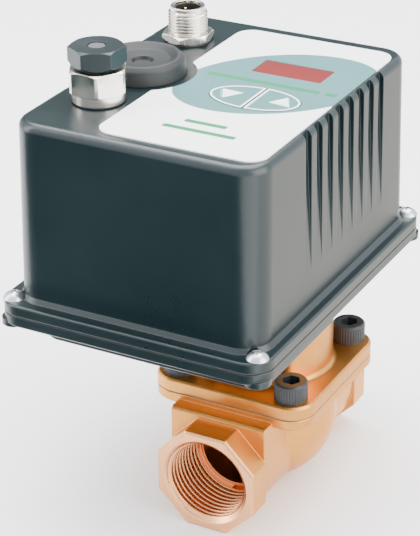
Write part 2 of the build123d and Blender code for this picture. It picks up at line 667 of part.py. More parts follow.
def gland_blank():
    """Blanking peg that closes the gland until a cable is fitted."""
    shape = cyl(GLAND_X, GLAND_Y, COVER_TOP + 7.0, COVER_TOP + 16.4, 2.55)
    return fillet(shape.edges().group_by(Axis.Z)[-1], 0.3)


def gland_nut():
    z0, z1 = COVER_TOP + 10.3, COVER_TOP + 16.6
    shape = chamfered_hex(GLAND_X, GLAND_Y, z0, z1, 14.6, 28)
    shape &= Pos(GLAND_X, GLAND_Y, (z0 + z1) / 2) * Cone(6.4, 6.4 + (z1 - z0) * 1.1, z1 - z0)
    shape -= cyl(GLAND_X, GLAND_Y, z0 - 1, COVER_TOP + 15.5, 5.7)
    return shape - cyl(GLAND_X, GLAND_Y, z0, z1 + 1, 2.65)


# ---- hand drive under the rubber plug ----

def override_plug():
    outline = [(0, COVER_TOP + 2.6), (2.7, COVER_TOP + 2.6), (3.3, COVER_TOP + 3.9), (8.6, COVER_TOP + 4.2),
               (9.8, COVER_TOP + 5.5), (11.2, COVER_TOP + 5.6), (12.5, COVER_TOP + 4.6), (PLUG_R, COVER_TOP),
               (10.42, COVER_TOP), (10.42, 105.2), (9.8, 104.6), (8.4, 104.6), (8.4, COVER_TOP + 1.0),
               (0, COVER_TOP + 1.0)]
    face = Plane.XZ * make_face(Polyline(*outline, close=True))
    return Pos(PLUG_X, PLUG_Y, 0) * revolve(face, Axis.Z)


def override_shaft():
    shape = cyl(PLUG_X, PLUG_Y, 49.8, 98.0, 3.0) + cyl(PLUG_X, PLUG_Y, 98.0, 106.0, 5.5)
    shape = chamfer(shape.edges().group_by(Axis.Z)[-1], 0.5)
    return shape - prism(PLUG_X, PLUG_Y, 101.0, 107, 6.0)


def override_gear(phase):
    shape = gear(PLUG_X, PLUG_Y, HIGH_Z0, HIGH_Z1, HAND_TEETH, phase)
    shape += cyl(PLUG_X, PLUG_Y, 60.0, HIGH_Z0, 5.2)
    return shape - cyl(PLUG_X, PLUG_Y, 50, 80, 3.0 + 0.01)


def override_bush():
    shape = cyl(PLUG_X, PLUG_Y, PLATE_Z0, PLATE_Z1, 4.98) + cyl(PLUG_X, PLUG_Y, PLATE_Z1, PLATE_Z1 + 1.2, 6.5)
    return shape - cyl(PLUG_X, PLUG_Y, 60, 80, 3.0 + RUN)


# ---- gear train and motor ----

def pillar_places():
    return [(-44.5, -3.5), (15.5, -3.5), (-44.5, 59.5), (15.5, 59.5)]


def motor_screw_places():
    d = MOTOR_EAR * math.sqrt(0.5)
    return [(MOTOR_X + d, MOTOR_Y + d), (MOTOR_X - d, MOTOR_Y - d)]


def gear_plate():
    shape = plate(-14.5, 28.0, 33.5, 35.0, 4.0, PLATE_Z0, PLATE_Z1)
    shape -= cyl(0, STEM_Y, 60, 80, BEARING_OUT_R)
    shape -= cyl(MOTOR_X, MOTOR_Y, 60, 80, 5.0)
    shape -= cyl(IDLER_X, IDLER_Y, 60, 80, 2.0)
    shape -= cyl(PLUG_X, PLUG_Y, 60, 80, 5.0)
    for x, y in pillar_places():
        shape -= cyl(x, y, 60, 80, 1.6)
    for x, y in motor_screw_places():
        shape -= cyl(x, y, 60, 80, M3_R)
    return shape


def plate_pillars():
    def one(x, y):
        rod = prism(x, y, BASE_TOP, PLATE_Z0, 6.0) - cyl(x, y, PLATE_Z0 - 8, 80, 1.5)
        return rod + cyl(x, y, 50.0, BASE_TOP, 1.45)
    return group(one(x, y) for x, y in pillar_places())


def plate_screws():
    return group(pan_screw(x, y, PLATE_Z1, 8.0, 1.45, 2.8, 1.9) for x, y in pillar_places())


def motor():
    can = cyl(MOTOR_X, MOTOR_Y, PLATE_Z1 + 1.0, PLATE_Z1 + MOTOR_H, MOTOR_R)
    can = fillet(can.edges().group_by(Axis.Z)[-1], 1.5)
    ears = cyl(MOTOR_X, MOTOR_Y, PLATE_Z1, PLATE_Z1 + 1.0, MOTOR_R)
    bar = Pos(MOTOR_X, MOTOR_Y, PLATE_Z1) * Rot(0, 0, 45) * SlotCenterToCenter(2 * MOTOR_EAR, 7.2)
    ears += extrude(bar, 1.0)
    for x, y in motor_screw_places():
        ears -= cyl(x, y, 60, 80, M3_R + 0.1)
    shape = can + ears + cyl(MOTOR_X, MOTOR_Y, PLATE_Z0 + 0.5, PLATE_Z1, 4.95)
    return shape - cyl(MOTOR_X, MOTOR_Y, 60, PLATE_Z1 + 6, 1.25 + RUN)


def motor_screws():
    return group(pan_screw(x, y, PLATE_Z1 + 1.0, 4.0, M3_R - 0.05, 2.8, 1.8) for x, y in motor_screw_places())


def motor_shaft():
    return cyl(MOTOR_X, MOTOR_Y, HIGH_Z0 - 0.3, PLATE_Z1 + 5.5, 1.25)


def motor_pinion(phase):
    shape = gear(MOTOR_X, MOTOR_Y, HIGH_Z0, HIGH_Z1, PINION_TEETH, phase)
    shape += cyl(MOTOR_X, MOTOR_Y, HIGH_Z1, HIGH_Z1 + 2.0, 3.6)
    return shape - cyl(MOTOR_X, MOTOR_Y, 50, 80, 1.26)


def idler_axle():
    return cyl(IDLER_X, IDLER_Y, 49.2, PLATE_Z1 + 0.4, 1.98)


def idler_gear(small_phase, large_phase):
    shape = gear(IDLER_X, IDLER_Y, LOW_Z0, LOW_Z1 + 0.2, IDLER_SMALL, small_phase)
    shape += cyl(IDLER_X, IDLER_Y, LOW_Z1, HIGH_Z0, 4.4)
    wheel = gear(IDLER_X, IDLER_Y, HIGH_Z0, HIGH_Z1, IDLER_LARGE, large_phase)
    wheel -= tube(IDLER_X, IDLER_Y, HIGH_Z0 - 1, HIGH_Z0 + 1.2, 6.0, 13.6)
    wheel -= tube(IDLER_X, IDLER_Y, HIGH_Z1 - 1.2, HIGH_Z1 + 1, 6.0, 13.6)
    shape += wheel
    shape += cyl(IDLER_X, IDLER_Y, BASE_TOP + 0.3, LOW_Z0, 4.4)
    shape += cyl(IDLER_X, IDLER_Y, HIGH_Z1, PLATE_Z0 - 0.3, 4.4)
    return shape - cyl(IDLER_X, IDLER_Y, 40, 80, 1.98 + RUN)


def drive_gear():
    wheel = gear(0, STEM_Y, LOW_Z0, LOW_Z1, DRIVE_TEETH, 0.0)
    wheel -= tube(0, STEM_Y, LOW_Z0 - 1, LOW_Z0 + 1.8, 10.0, 16.4)
    wheel -= tube(0, STEM_Y, LOW_Z1 - 1.8, LOW_Z1 + 1, 10.0, 16.4)
    for k in range(6):
        a = math.radians(60 * k + 30)
        wheel -= cyl(13.2 * math.cos(a), STEM_Y + 13.2 * math.sin(a), 50, 70, 2.0)
    return wheel - cyl(0, STEM_Y, 40, 80, 7.21)


def stem_nut():
    shape = cyl(0, STEM_Y, LOW_BEARING_Z + 0.2, HIGH_BEARING_Z + BEARING_W + 1.4, BEARING_IN_R - 0.01)
    shape += cyl(0, STEM_Y, LOW_BEARING_Z + BEARING_W, HIGH_BEARING_Z, 7.2)
    shape -= tube(0, STEM_Y, HIGH_BEARING_Z + BEARING_W + 0.2, HIGH_BEARING_Z + BEARING_W + 1.0, 5.4, 8)
    return shape - cyl(0, STEM_Y, 40, 80, SCREW_R + RUN)


def retaining_ring():
    ring = tube(0, STEM_Y, HIGH_BEARING_Z + BEARING_W + 0.25, HIGH_BEARING_Z + BEARING_W + 0.95, 5.45, 7.3)
    return ring - block(-1.2, 1.2, STEM_Y + 4, STEM_Y + 9, 70, 80)


def bearing_levels():
    return (LOW_BEARING_Z, HIGH_BEARING_Z)


def ball_ring_r():
    return (BEARING_IN_R + BEARING_OUT_R) / 2


def race(z, r_in, r_out):
    ring = tube(0, STEM_Y, z, z + BEARING_W, r_in, r_out)
    return ring - torus_z(0, STEM_Y, z + BEARING_W / 2, ball_ring_r(), 1.28)


def bearing_outer_races():
    return group(race(z, 8.95, BEARING_OUT_R) for z in bearing_levels())


def bearing_inner_races():
    return group(race(z, BEARING_IN_R, 7.55) for z in bearing_levels())


def bearing_balls():
    balls = []
    for z in bearing_levels():
        for k in range(10):
            a = math.radians(36 * k)
            x = ball_ring_r() * math.cos(a)
            y = STEM_Y + ball_ring_r() * math.sin(a)
            balls.append(Pos(x, y, z + BEARING_W / 2) * Sphere(1.2))
    return group(balls)


def save_valve():
    save("valve_body", valve_body())
    save("seat_ring", seat_ring())
    save("bonnet", bonnet())
    save("bonnet_gasket", bonnet_gasket())
    save("bonnet_screws", group(socket_screw(x, y, BONNET_FLANGE_TOP, 8.4)
                                for x, y in corners(0, STEM_Y, BOLT_X, BOLT_Y)))
    save("stem_bush", stem_bush())
    save("stem_seals", stem_seals())
    save("stem", stem())
    save("guide_pin", guide_pin())
    save("disc_holder", disc_holder())
    save("seat_disc", seat_disc())
    save("throttle_cone", throttle_cone())
    save("cone_nut", cone_nut())


def save_housing():
    save("cover", cover())
    save("cover_gasket", cover_gasket())
    save("cover_screws", cover_screws())
    save("base_plate", base_plate())
    save("base_screws", base_screws())
    save("keypad_label", keypad_label())
    save("down_key", key(-1))
    save("up_key", key(1))
    save("display_window", display_window())
    save("display_module", display_module())
    save("control_board", control_board())
    save("board_screws", board_screws())
    save("key_switches", key_switches())
    save("board_parts", board_parts())


def save_connections():
    save("socket_shell", socket_shell())
    save("socket_insert", socket_insert())
    save("socket_pins", socket_pins())
    save("socket_seal", socket_seal())
    save("socket_locknut", locknut(SOCKET_X, SOCKET_Y))
    save("gland_body", gland_body())
    save("gland_seal", gland_seal())
    save("gland_insert", gland_insert())
    save("gland_blank", gland_blank())
    save("gland_nut", gland_nut())
    save("gland_locknut", locknut(GLAND_X, GLAND_Y))


def save_drive():
    small = mesh_phase(0, STEM_Y, DRIVE_TEETH, 0.0, IDLER_X, IDLER_Y, IDLER_SMALL)
    large = 0.0
    hand = mesh_phase(IDLER_X, IDLER_Y, IDLER_LARGE, large, PLUG_X, PLUG_Y, HAND_TEETH)
    pinion = mesh_phase(IDLER_X, IDLER_Y, IDLER_LARGE, large, MOTOR_X, MOTOR_Y, PINION_TEETH)
    save("override_plug", override_plug())
    save("override_shaft", override_shaft())
    save("override_gear", override_gear(hand))
    save("override_bush", override_bush())
    save("gear_plate", gear_plate())
    save("plate_pillars", plate_pillars())
    save("plate_screws", plate_screws())
    save("motor", motor())
    save("motor_screws", motor_screws())
    save("motor_shaft", motor_shaft())
    save("motor_pinion", motor_pinion(pinion))
    save("idler_axle", idler_axle())
    save("idler_gear", idler_gear(small, large))
    save("drive_gear", drive_gear())
    save("stem_nut", stem_nut())
    save("retaining_ring", retaining_ring())
    save("bearing_outer_races", bearing_outer_races())
    save("bearing_inner_races", bearing_inner_races())
    save("bearing_balls", bearing_balls())


os.makedirs("parts", exist_ok=True)
save_valve()
save_housing()
save_connections()
save_drive()
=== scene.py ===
import math

import bmesh
import bpy
from bpy.props import FloatProperty, FloatVectorProperty, IntProperty, PointerProperty
from mathutils import Matrix, Vector


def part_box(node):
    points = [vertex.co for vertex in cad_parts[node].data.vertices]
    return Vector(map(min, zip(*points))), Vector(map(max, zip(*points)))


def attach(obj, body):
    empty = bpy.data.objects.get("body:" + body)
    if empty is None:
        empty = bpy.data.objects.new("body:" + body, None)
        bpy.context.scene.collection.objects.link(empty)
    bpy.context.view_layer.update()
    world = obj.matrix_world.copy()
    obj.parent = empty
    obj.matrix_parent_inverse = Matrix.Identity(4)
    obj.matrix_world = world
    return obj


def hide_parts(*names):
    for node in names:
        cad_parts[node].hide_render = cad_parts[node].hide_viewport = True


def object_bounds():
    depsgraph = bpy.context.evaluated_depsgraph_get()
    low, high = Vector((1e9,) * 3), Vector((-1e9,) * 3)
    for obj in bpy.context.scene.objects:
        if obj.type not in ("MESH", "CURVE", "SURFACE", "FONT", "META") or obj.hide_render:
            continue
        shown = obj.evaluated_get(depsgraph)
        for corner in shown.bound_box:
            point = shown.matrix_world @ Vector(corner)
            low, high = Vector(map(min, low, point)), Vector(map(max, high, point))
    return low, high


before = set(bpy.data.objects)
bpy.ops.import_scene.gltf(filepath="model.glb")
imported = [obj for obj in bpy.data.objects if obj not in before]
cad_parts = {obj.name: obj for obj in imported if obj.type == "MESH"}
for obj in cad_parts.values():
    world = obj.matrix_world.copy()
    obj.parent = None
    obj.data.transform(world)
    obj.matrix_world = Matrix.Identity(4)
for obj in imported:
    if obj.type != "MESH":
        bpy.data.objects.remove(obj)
CAD_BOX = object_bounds()

bl_info = {
    "name": "Motor Valve Actuator",
    "version": (1, 0, 0),
    "blender": (4, 5, 0),
    "location": "View3D > Sidebar > Actuator",
    "description": "Finishes a geared valve actuator and its brass globe valve around a fixed frame",
    "category": "Object",
}

MM = 0.001


# ---- settings ----

class HousingSettings(bpy.types.PropertyGroup):
    shell_color: FloatVectorProperty(
        name="Shell colour", description="Base colour of the cover and base plate",
        subtype="COLOR", size=3, min=0, max=1, default=(0.0018, 0.0085, 0.0100))
    shell_roughness: FloatProperty(
        name="Shell roughness", description="Roughness of the moulded shell",
        subtype="FACTOR", min=0, max=1, default=0.30)
    edge_radius: FloatProperty(
        name="Edge radius", description="Radius that softens the shell's sharp edges",
        unit="LENGTH", min=0, default=0.45 * MM)


class LabelSettings(bpy.types.PropertyGroup):
    film_color: FloatVectorProperty(
        name="Film colour", description="Colour of the label's plain film",
        subtype="COLOR", size=3, min=0, max=1, default=(0.93, 0.94, 0.94))
    field_color: FloatVectorProperty(
        name="Field colour", description="Colour of the printed oval field",
        subtype="COLOR", size=3, min=0, max=1, default=(0.075, 0.19, 0.195))
    ink_color: FloatVectorProperty(
        name="Ink colour", description="Colour of the printed bars",
        subtype="COLOR", size=3, min=0, max=1, default=(0.001, 0.20, 0.075))
    field_long: FloatProperty(
        name="Field half length", description="Half the oval field's long axis",
        unit="LENGTH", min=0, default=30.9 * MM)
    field_short: FloatProperty(
        name="Field half width", description="Half the oval field's short axis",
        unit="LENGTH", min=0, default=22.4 * MM)
    line_width: FloatProperty(
        name="Line width", description="Width of the white lines round the keys",
        unit="LENGTH", min=0, default=0.62 * MM)


class MetalSettings(bpy.types.PropertyGroup):
    brass_color: FloatVectorProperty(
        name="Brass colour", description="Colour of the forged brass",
        subtype="COLOR", size=3, min=0, max=1, default=(0.80, 0.36, 0.085))
    cut_brass_color: FloatVectorProperty(
        name="Cut brass colour", description="Colour of the freshly machined brass",
        subtype="COLOR", size=3, min=0, max=1, default=(0.80, 0.385, 0.18))
    nickel_color: FloatVectorProperty(
        name="Nickel colour", description="Colour of the nickel plating",
        subtype="COLOR", size=3, min=0, max=1, default=(0.92, 0.86, 0.77))


class PlugSettings(bpy.types.PropertyGroup):
    rubber_color: FloatVectorProperty(
        name="Rubber colour", description="Colour of the hand drive's rubber plug",
        subtype="COLOR", size=3, min=0, max=1, default=(0.004, 0.0065, 0.007))
    facets: IntProperty(
        name="Facets", description="Segments round the plug", min=24, default=128)


class StageSettings(bpy.types.PropertyGroup):
    azimuth: FloatProperty(
        name="Azimuth", description="Camera direction round the object",
        subtype="ANGLE", default=math.radians(28.144))
    elevation: FloatProperty(
        name="Elevation", description="Camera height above the horizon",
        subtype="ANGLE", default=math.radians(26.679))
    roll: FloatProperty(
        name="Roll", description="Camera roll", subtype="ANGLE", default=math.radians(-0.4816))
    lens: FloatProperty(
        name="Lens", description="Focal length in millimetres", min=1, default=133.8)
    camera_place: FloatVectorProperty(
        name="Camera place", description="Where the camera stands",
        subtype="XYZ", unit="LENGTH", size=3, default=(0.2374, -0.4386, 0.3213))
    floor_color: FloatVectorProperty(
        name="Floor colour", description="Colour of the pale floor and backdrop",
        subtype="COLOR", size=3, min=0, max=1, default=(0.90, 0.90, 0.90))


# ---- node helpers ----

def rgba(color):
    """A colour with full opacity."""
    return (color[0], color[1], color[2], 1.0)


class Tree:
    """Short calls for building one node tree."""

    def __init__(self, tree):
        self.tree = tree
        self.column = 0

    def node(self, kind, **values):
        made = self.tree.nodes.new(kind)
        self.column += 1
        made.location = (180 * (self.column % 8), -220 * (self.column // 8))
        for key, value in values.items():
            setattr(made, key, value)
        return made

    def link(self, source, target):
        self.tree.links.new(source, target)

    def math(self, operation, first, second=0.0, clamp=False):
        made = self.node("ShaderNodeMath", operation=operation, use_clamp=clamp)
        for socket, value in zip(made.inputs, (first, second)):
            self.feed(socket, value)
        return made.outputs[0]

    def feed(self, socket, value):
        if isinstance(value, bpy.types.NodeSocket):
            self.link(value, socket)
        else:
            socket.default_value = value

    def noise(self, vector, scale, detail=4.0, roughness=0.55):
        made = self.node("ShaderNodeTexNoise")
        self.link(vector, made.inputs["Vector"])
        self.feed(made.inputs["Scale"], scale)
        made.inputs["Detail"].default_value = detail
        made.inputs["Roughness"].default_value = roughness
        return made.outputs["Fac"]

    def remap(self, value, low, high, to_low=0.0, to_high=1.0):
        made = self.node("ShaderNodeMapRange", clamp=True)
        self.feed(made.inputs["Value"], value)
        for name, number in (("From Min", low), ("From Max", high), ("To Min", to_low), ("To Max", to_high)):
            self.feed(made.inputs[name], number)
        return made.outputs["Result"]

    def mix(self, factor, first, second):
        made = self.node("ShaderNodeMix", data_type="RGBA")
        self.feed(made.inputs["Factor"], factor)
        self.feed(made.inputs["A"], first)
        self.feed(made.inputs["B"], second)
        return made.outputs["Result"]

    def group(self, shared, **values):
        made = self.node("ShaderNodeGroup")
        made.node_tree = shared
        for name, value in values.items():
            self.feed(made.inputs[name.replace("_", " ")], value)
        return made.outputs


def shared_group(name, inputs, outputs, build):
    """A shader node group that is built once and found again by name."""
    found = bpy.data.node_groups.get(name)
    if found:
        return found
    tree = bpy.data.node_groups.new(name, "ShaderNodeTree")
    for label, kind, default in inputs:
        socket = tree.interface.new_socket(label, in_out="INPUT", socket_type=kind)
        socket.default_value = default
    for label, kind in outputs:
        tree.interface.new_socket(label, in_out="OUTPUT", socket_type=kind)
    source = tree.nodes.new("NodeGroupInput")
    target = tree.nodes.new("NodeGroupOutput")
    build(Tree(tree), source.outputs, target.inputs)
    return tree


FLOAT = "NodeSocketFloat"
VECTOR = "NodeSocketVector"

# Factors that keep only the distance from a line: one along Z, or one along Y
ACROSS_Z = (1, 1, 0)
ACROSS_Y = (1, 0, 1)


def soft_edge_group():
    """Rounds the shading at sharp edges, and marks the edges where use has rubbed them."""
    def build(t, source, target):
        bevel = t.node("ShaderNodeBevel", samples=6)
        t.link(source["Radius"], bevel.inputs["Radius"])
        geometry = t.node("ShaderNodeNewGeometry")
        dot = t.node("ShaderNodeVectorMath", operation="DOT_PRODUCT")
        t.link(bevel.outputs["Normal"], dot.inputs[0])
        t.link(geometry.outputs["Normal"], dot.inputs[1])
        turned = t.math("SUBTRACT", 1.0, dot.outputs["Value"])
        place = t.node("ShaderNodeTexCoord").outputs["Object"]
        broken = t.remap(t.noise(place, source["Breakup"]), 0.38, 0.62, 0.25, 1.0)
        worn = t.remap(turned, 0.015, 0.16)
        t.link(t.math("MULTIPLY", worn, broken, clamp=True), target["Edge"])
        t.link(bevel.outputs["Normal"], target["Normal"])
    return shared_group(
        "Soft Edge", [("Radius", FLOAT, 0.0003), ("Breakup", FLOAT, 900.0)],
        [("Normal", VECTOR), ("Edge", FLOAT)], build)


def grain_group():
    """Fine surface grain with slow patches of handling over it."""
    def build(t, source, target):
        place = t.node("ShaderNodeTexCoord").outputs["Object"]
        fine = t.noise(place, source["Scale"], 3.0, 0.6)
        coarse = t.noise(place, t.math("MULTIPLY", source["Scale"], 0.22), 3.0, 0.5)
        patch = t.noise(place, source["Patch Scale"], 5.0, 0.62)
        t.link(t.math("ADD", fine, t.math("MULTIPLY", coarse, 0.6)), target["Height"])
        t.link(t.remap(patch, 0.3, 0.7), target["Patch"])
        t.link(t.remap(fine, 0.35, 0.65), target["Speck"])
    return shared_group(
        "Surface Grain", [("Scale", FLOAT, 4000.0), ("Patch Scale", FLOAT, 30.0)],
        [("Height", FLOAT), ("Patch", FLOAT), ("Speck", FLOAT)], build)


def cutter_marks_group():
    """Fine rings that a lathe leaves round a line. Flatten is 0 along that line and 1 across it."""
    def build(t, source, target):
        place = t.node("ShaderNodeTexCoord").outputs["Object"]
        away = t.node("ShaderNodeVectorMath", operation="SUBTRACT")
        t.link(place, away.inputs[0])
        t.link(source["Centre"], away.inputs[1])
        flat = t.node("ShaderNodeVectorMath", operation="MULTIPLY")
        t.link(away.outputs["Vector"], flat.inputs[0])
        t.link(source["Flatten"], flat.inputs[1])
        length = t.node("ShaderNodeVectorMath", operation="LENGTH")
        t.link(flat.outputs["Vector"], length.inputs[0])
        rings = t.node("ShaderNodeTexNoise", noise_dimensions="1D")
        t.link(length.outputs["Value"], rings.inputs["W"])
        t.link(source["Scale"], rings.inputs["Scale"])
        rings.inputs["Detail"].default_value = 2.0
        t.link(rings.outputs["Fac"], target["Height"])
        t.link(t.remap(rings.outputs["Fac"], 0.3, 0.7), target["Streak"])
    return shared_group(
        "Cutter Marks",
        [("Centre", VECTOR, (0, 0, 0)), ("Flatten", VECTOR, (1, 1, 0)), ("Scale", FLOAT, 3000.0)],
        [("Height", FLOAT), ("Streak", FLOAT)], build)


def material(name):
    """A new material with an empty tree, its Principled shader and its output."""
    made = bpy.data.materials.new(name)
    made.use_nodes = True
    made.node_tree.nodes.clear()
    t = Tree(made.node_tree)
    shader = t.node("ShaderNodeBsdfPrincipled")
    output = t.node("ShaderNodeOutputMaterial")
    t.link(shader.outputs["BSDF"], output.inputs["Surface"])
    return made, t, shader


def bump(t, shader, height, distance, strength=1.0, normal=None):
    made = t.node("ShaderNodeBump")
    made.inputs["Strength"].default_value = strength
    made.inputs["Distance"].default_value = distance
    t.link(height, made.inputs["Height"])
    if normal is not None:
        t.link(normal, made.inputs["Normal"])
    t.link(made.outputs["Normal"], shader.inputs["Normal"])


def worn_finish(name, color, worn_color, roughness, metallic=0.0, radius=0.25 * MM, grain=4000.0,
                depth=0.012 * MM, spread=0.08, wear=0.5):
    """A solid finish with grain, patchy gloss and rubbed edges."""
    made, t, shader = material(name)
    edge = t.group(soft_edge_group(), Radius=radius)
    skin = t.group(grain_group(), Scale=grain)
    shade = [c * 0.86 for c in color]
    base = t.mix(skin["Patch"], rgba(shade), rgba(color))
    rubbed = t.math("MULTIPLY", edge["Edge"], wear)
    t.link(t.mix(rubbed, base, rgba(worn_color)), shader.inputs["Base Color"])
    rough = t.remap(skin["Patch"], 0.0, 1.0, roughness - spread, roughness + spread)
    t.link(rough, shader.inputs["Roughness"])
    shader.inputs["Metallic"].default_value = metallic
    bump(t, shader, skin["Height"], depth, 0.7, edge["Normal"])
    return made


def turned_finish(name, color, roughness, centre, radius=0.15 * MM, scale=2600.0):
    """Metal turned on a lathe, with rings round the vertical line through centre."""
    made, t, shader = material(name)
    edge = t.group(soft_edge_group(), Radius=radius)
    skin = t.group(grain_group(), Scale=5200.0, Patch_Scale=60.0)
    marks = t.group(cutter_marks_group(), Centre=centre, Flatten=ACROSS_Z, Scale=scale)
    dull = [c * 0.74 for c in color]
    tone = t.mix(skin["Patch"], rgba(dull), rgba(color))
    bright = [min(1.0, c * 1.18) for c in color]
    t.link(t.mix(edge["Edge"], tone, rgba(bright)), shader.inputs["Base Color"])
    rough = t.remap(marks["Streak"], 0.0, 1.0, roughness - 0.07, roughness + 0.09)
    t.link(rough, shader.inputs["Roughness"])
    shader.inputs["Metallic"].default_value = 1.0
    height = t.math("ADD", marks["Height"], t.math("MULTIPLY", skin["Height"], 0.35))
    bump(t, shader, height, 0.004 * MM, 0.5, edge["Normal"])
    return made


def dress(names, finish):
    """Gives CAD nodes a finish."""
    for name in names:
        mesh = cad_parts[name].data
        mesh.materials.clear()
        mesh.materials.append(finish)


# ---- mesh helpers ----

def piece(name, vertices, faces, finish, body, slot, smooth=True, sharp_angle=35.0):
    """A new mesh object in the row frame that rides on a body."""
    mesh = bpy.data.meshes.new(name)
    mesh.from_pydata(vertices, [], faces)
    mesh.validate()
    mesh.materials.append(finish)
    made = bpy.data.objects.new(name, mesh)
    bpy.context.scene.collection.objects.link(made)
    work = bmesh.new()
    work.from_mesh(mesh)
    bmesh.ops.remove_doubles(work, verts=work.verts, dist=1e-7)
    bmesh.ops.recalc_face_normals(work, faces=work.faces)
    work.to_mesh(mesh)
    work.free()
    if smooth:
        mesh.shade_smooth()
        mesh.set_sharp_from_angle(angle=math.radians(sharp_angle))
    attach(made, body)
    return made


def rounded(points, radius, steps=5):
    """A polyline whose inner corners are replaced by small curves."""
    result = [points[0]]
    for before, corner, after in zip(points, points[1:], points[2:]):
        corner = Vector(corner)
        first = Vector(before) - corner
        second = Vector(after) - corner
        reach = min(radius, first.length * 0.45, second.length * 0.45)
        start = corner + first.normalized() * reach
        end = corner + second.normalized() * reach
        for k in range(steps + 1):
            f = k / steps
            result.append(tuple(start.lerp(corner, f).lerp(corner.lerp(end, f), f)))
    result.append(points[-1])
    return result


def lathe(profile, centre, count):
    """Vertices and faces of a profile of (radius, z) turned round a vertical line."""
    vertices, faces = [], []
    for k in range(count):
        a = 2 * math.pi * k / count
        for r, z in profile:
            vertices.append((centre[0] + r * math.cos(a), centre[1] + r * math.sin(a), z))
    size = len(profile)
    for k in range(count):
        for j in range(size - 1):
            a, b = k * size + j, ((k + 1) % count) * size + j
            faces.append((a, b, b + 1, a + 1))
    return vertices, faces


def slab(outline, z0, z1):
    """Vertices and faces of a flat plate with the given outline."""
    count = len(outline)
    vertices = [(x, y, z) for z in (z0, z1) for x, y in outline]
    faces = [tuple(range(count))[::-1], tuple(range(count, 2 * count))]
    faces += [(k, (k + 1) % count, count + (k + 1) % count, count + k) for k in range(count)]
    return vertices, faces


def band(outer, inner, z0, z1):
    """Vertices and faces of a closed flat band between two outlines with the same number of points."""
    count = len(outer)
    vertices = [(x, y, z) for z in (z0, z1) for ring in (outer, inner) for x, y in ring]
    faces = []
    for k in range(count):
        n = (k + 1) % count
        low_out, low_in, high_out, high_in = 0, count, 2 * count, 3 * count
        faces.append((low_out + k, low_in + k, low_in + n, low_out + n))
        faces.append((high_out + k, high_out + n, high_in + n, high_in + k))
        faces.append((low_out + k, low_out + n, high_out + n, high_out + k))
        faces.append((low_in + k, high_in + k, high_in + n, low_in + n))
    return vertices, faces


# ---- housing ----

def shell_finish():
    """Dark moulded plastic with a fine texture."""
    user = bpy.context.scene.actuator_housing
    made, t, shader = material("moulded black shell")
    edge = t.group(soft_edge_group(), Radius=user.edge_radius, Breakup=420.0)
    skin = t.group(grain_group(), Scale=2600.0, Patch_Scale=22.0)
    base = t.mix(skin["Patch"], rgba(user.shell_color), rgba([c * 1.25 for c in user.shell_color]))
    rubbed = t.math("MULTIPLY", edge["Edge"], 0.35)
    t.link(t.mix(rubbed, base, (0.05, 0.055, 0.058, 1.0)), shader.inputs["Base Color"])
    rough = t.remap(skin["Patch"], 0.0, 1.0, user.shell_roughness - 0.035, user.shell_roughness + 0.045)
    t.link(rough, shader.inputs["Roughness"])
    shader.inputs["IOR"].default_value = 1.5
    bump(t, shader, skin["Height"], 0.012 * MM, 0.5, edge["Normal"])
    return made


class ACTUATOR_OT_housing(bpy.types.Operator):
    """Finish the cover, base plate, gasket and corner screws"""
    bl_idname = "actuator.housing"
    bl_label = "Housing"

    def execute(self, context):
        dress(["cover", "base_plate"], shell_finish())
        dress(["cover_gasket", "socket_seal", "gland_seal"], worn_finish(
            "grey seal rubber", (0.05, 0.05, 0.052), (0.08, 0.08, 0.08), 0.62, grain=2500.0,
            depth=0.03 * MM))
        dress(["cover_screws", "plate_screws", "motor_screws"], worn_finish(
            "zinc plated steel", (0.62, 0.64, 0.66), (0.82, 0.83, 0.84), 0.30, metallic=1.0,
            radius=0.18 * MM, grain=3600.0, depth=0.01 * MM))
        return {"FINISHED"}


# ---- label, keys and display ----

# The oval field's centre from the centre of the keys, and the turn of its long axis
FIELD_OFFSET = (0.4 * MM, 13.3 * MM)
FIELD_TURN = math.radians(45)
# Printed bars: a name, then x from and to and y from and to, in mm from the centre of the keys
BARS = (("label_bar_wide", -21.4, 14.6, 11.0, 12.9), ("label_bar_dot", 16.6, 20.0, 11.0, 12.9),
        ("label_bar_upper", -10.0, 3.0, -23.9, -21.9), ("label_bar_lower", -14.0, 8.4, -29.4, -27.4))
BAR_CORNER = 0.45 * MM
# Arrows: the key and the three corners, in mm from the centre of the keys
ARROWS = (("down_key", ((-11.4, 2.4), (-4.6, 2.0), (-8.4, -3.6))),
          ("up_key", ((8.4, 4.4), (4.9, -1.0), (11.6, -1.8))))
ARROW_EDGE = (0.55 * MM, -0.5 * MM)
KEY_MARGIN = 0.12 * MM
KEY_GAP = 0.25 * MM
INK_BURIED = 0.02 * MM
INK_PROUD = 0.035 * MM


def key_centre():
    """The middle of the two keys together, on their top face."""
    low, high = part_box("down_key")
    low_up, high_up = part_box("up_key")
    return Vector(((low.x + high_up.x) / 2, (low.y + high.y) / 2, high.z))


def ellipse_mask(t, place, centre, half, turn):
    """1 inside a turned ellipse and 0 outside."""
    mapping = t.node("ShaderNodeMapping", vector_type="TEXTURE")
    t.link(place, mapping.inputs["Vector"])
    mapping.inputs["Location"].default_value = (centre[0], centre[1], 0.0)
    mapping.inputs["Rotation"].default_value = (0.0, 0.0, turn)
    mapping.inputs["Scale"].default_value = (half[0], half[1], 1.0)
    flat = t.node("ShaderNodeVectorMath", operation="MULTIPLY")
    t.link(mapping.outputs["Vector"], flat.inputs[0])
    flat.inputs[1].default_value = (1.0, 1.0, 0.0)
    length = t.node("ShaderNodeVectorMath", operation="LENGTH")
    t.link(flat.outputs["Vector"], length.inputs[0])
    return t.remap(length.outputs["Value"], 0.997, 1.003, 1.0, 0.0)


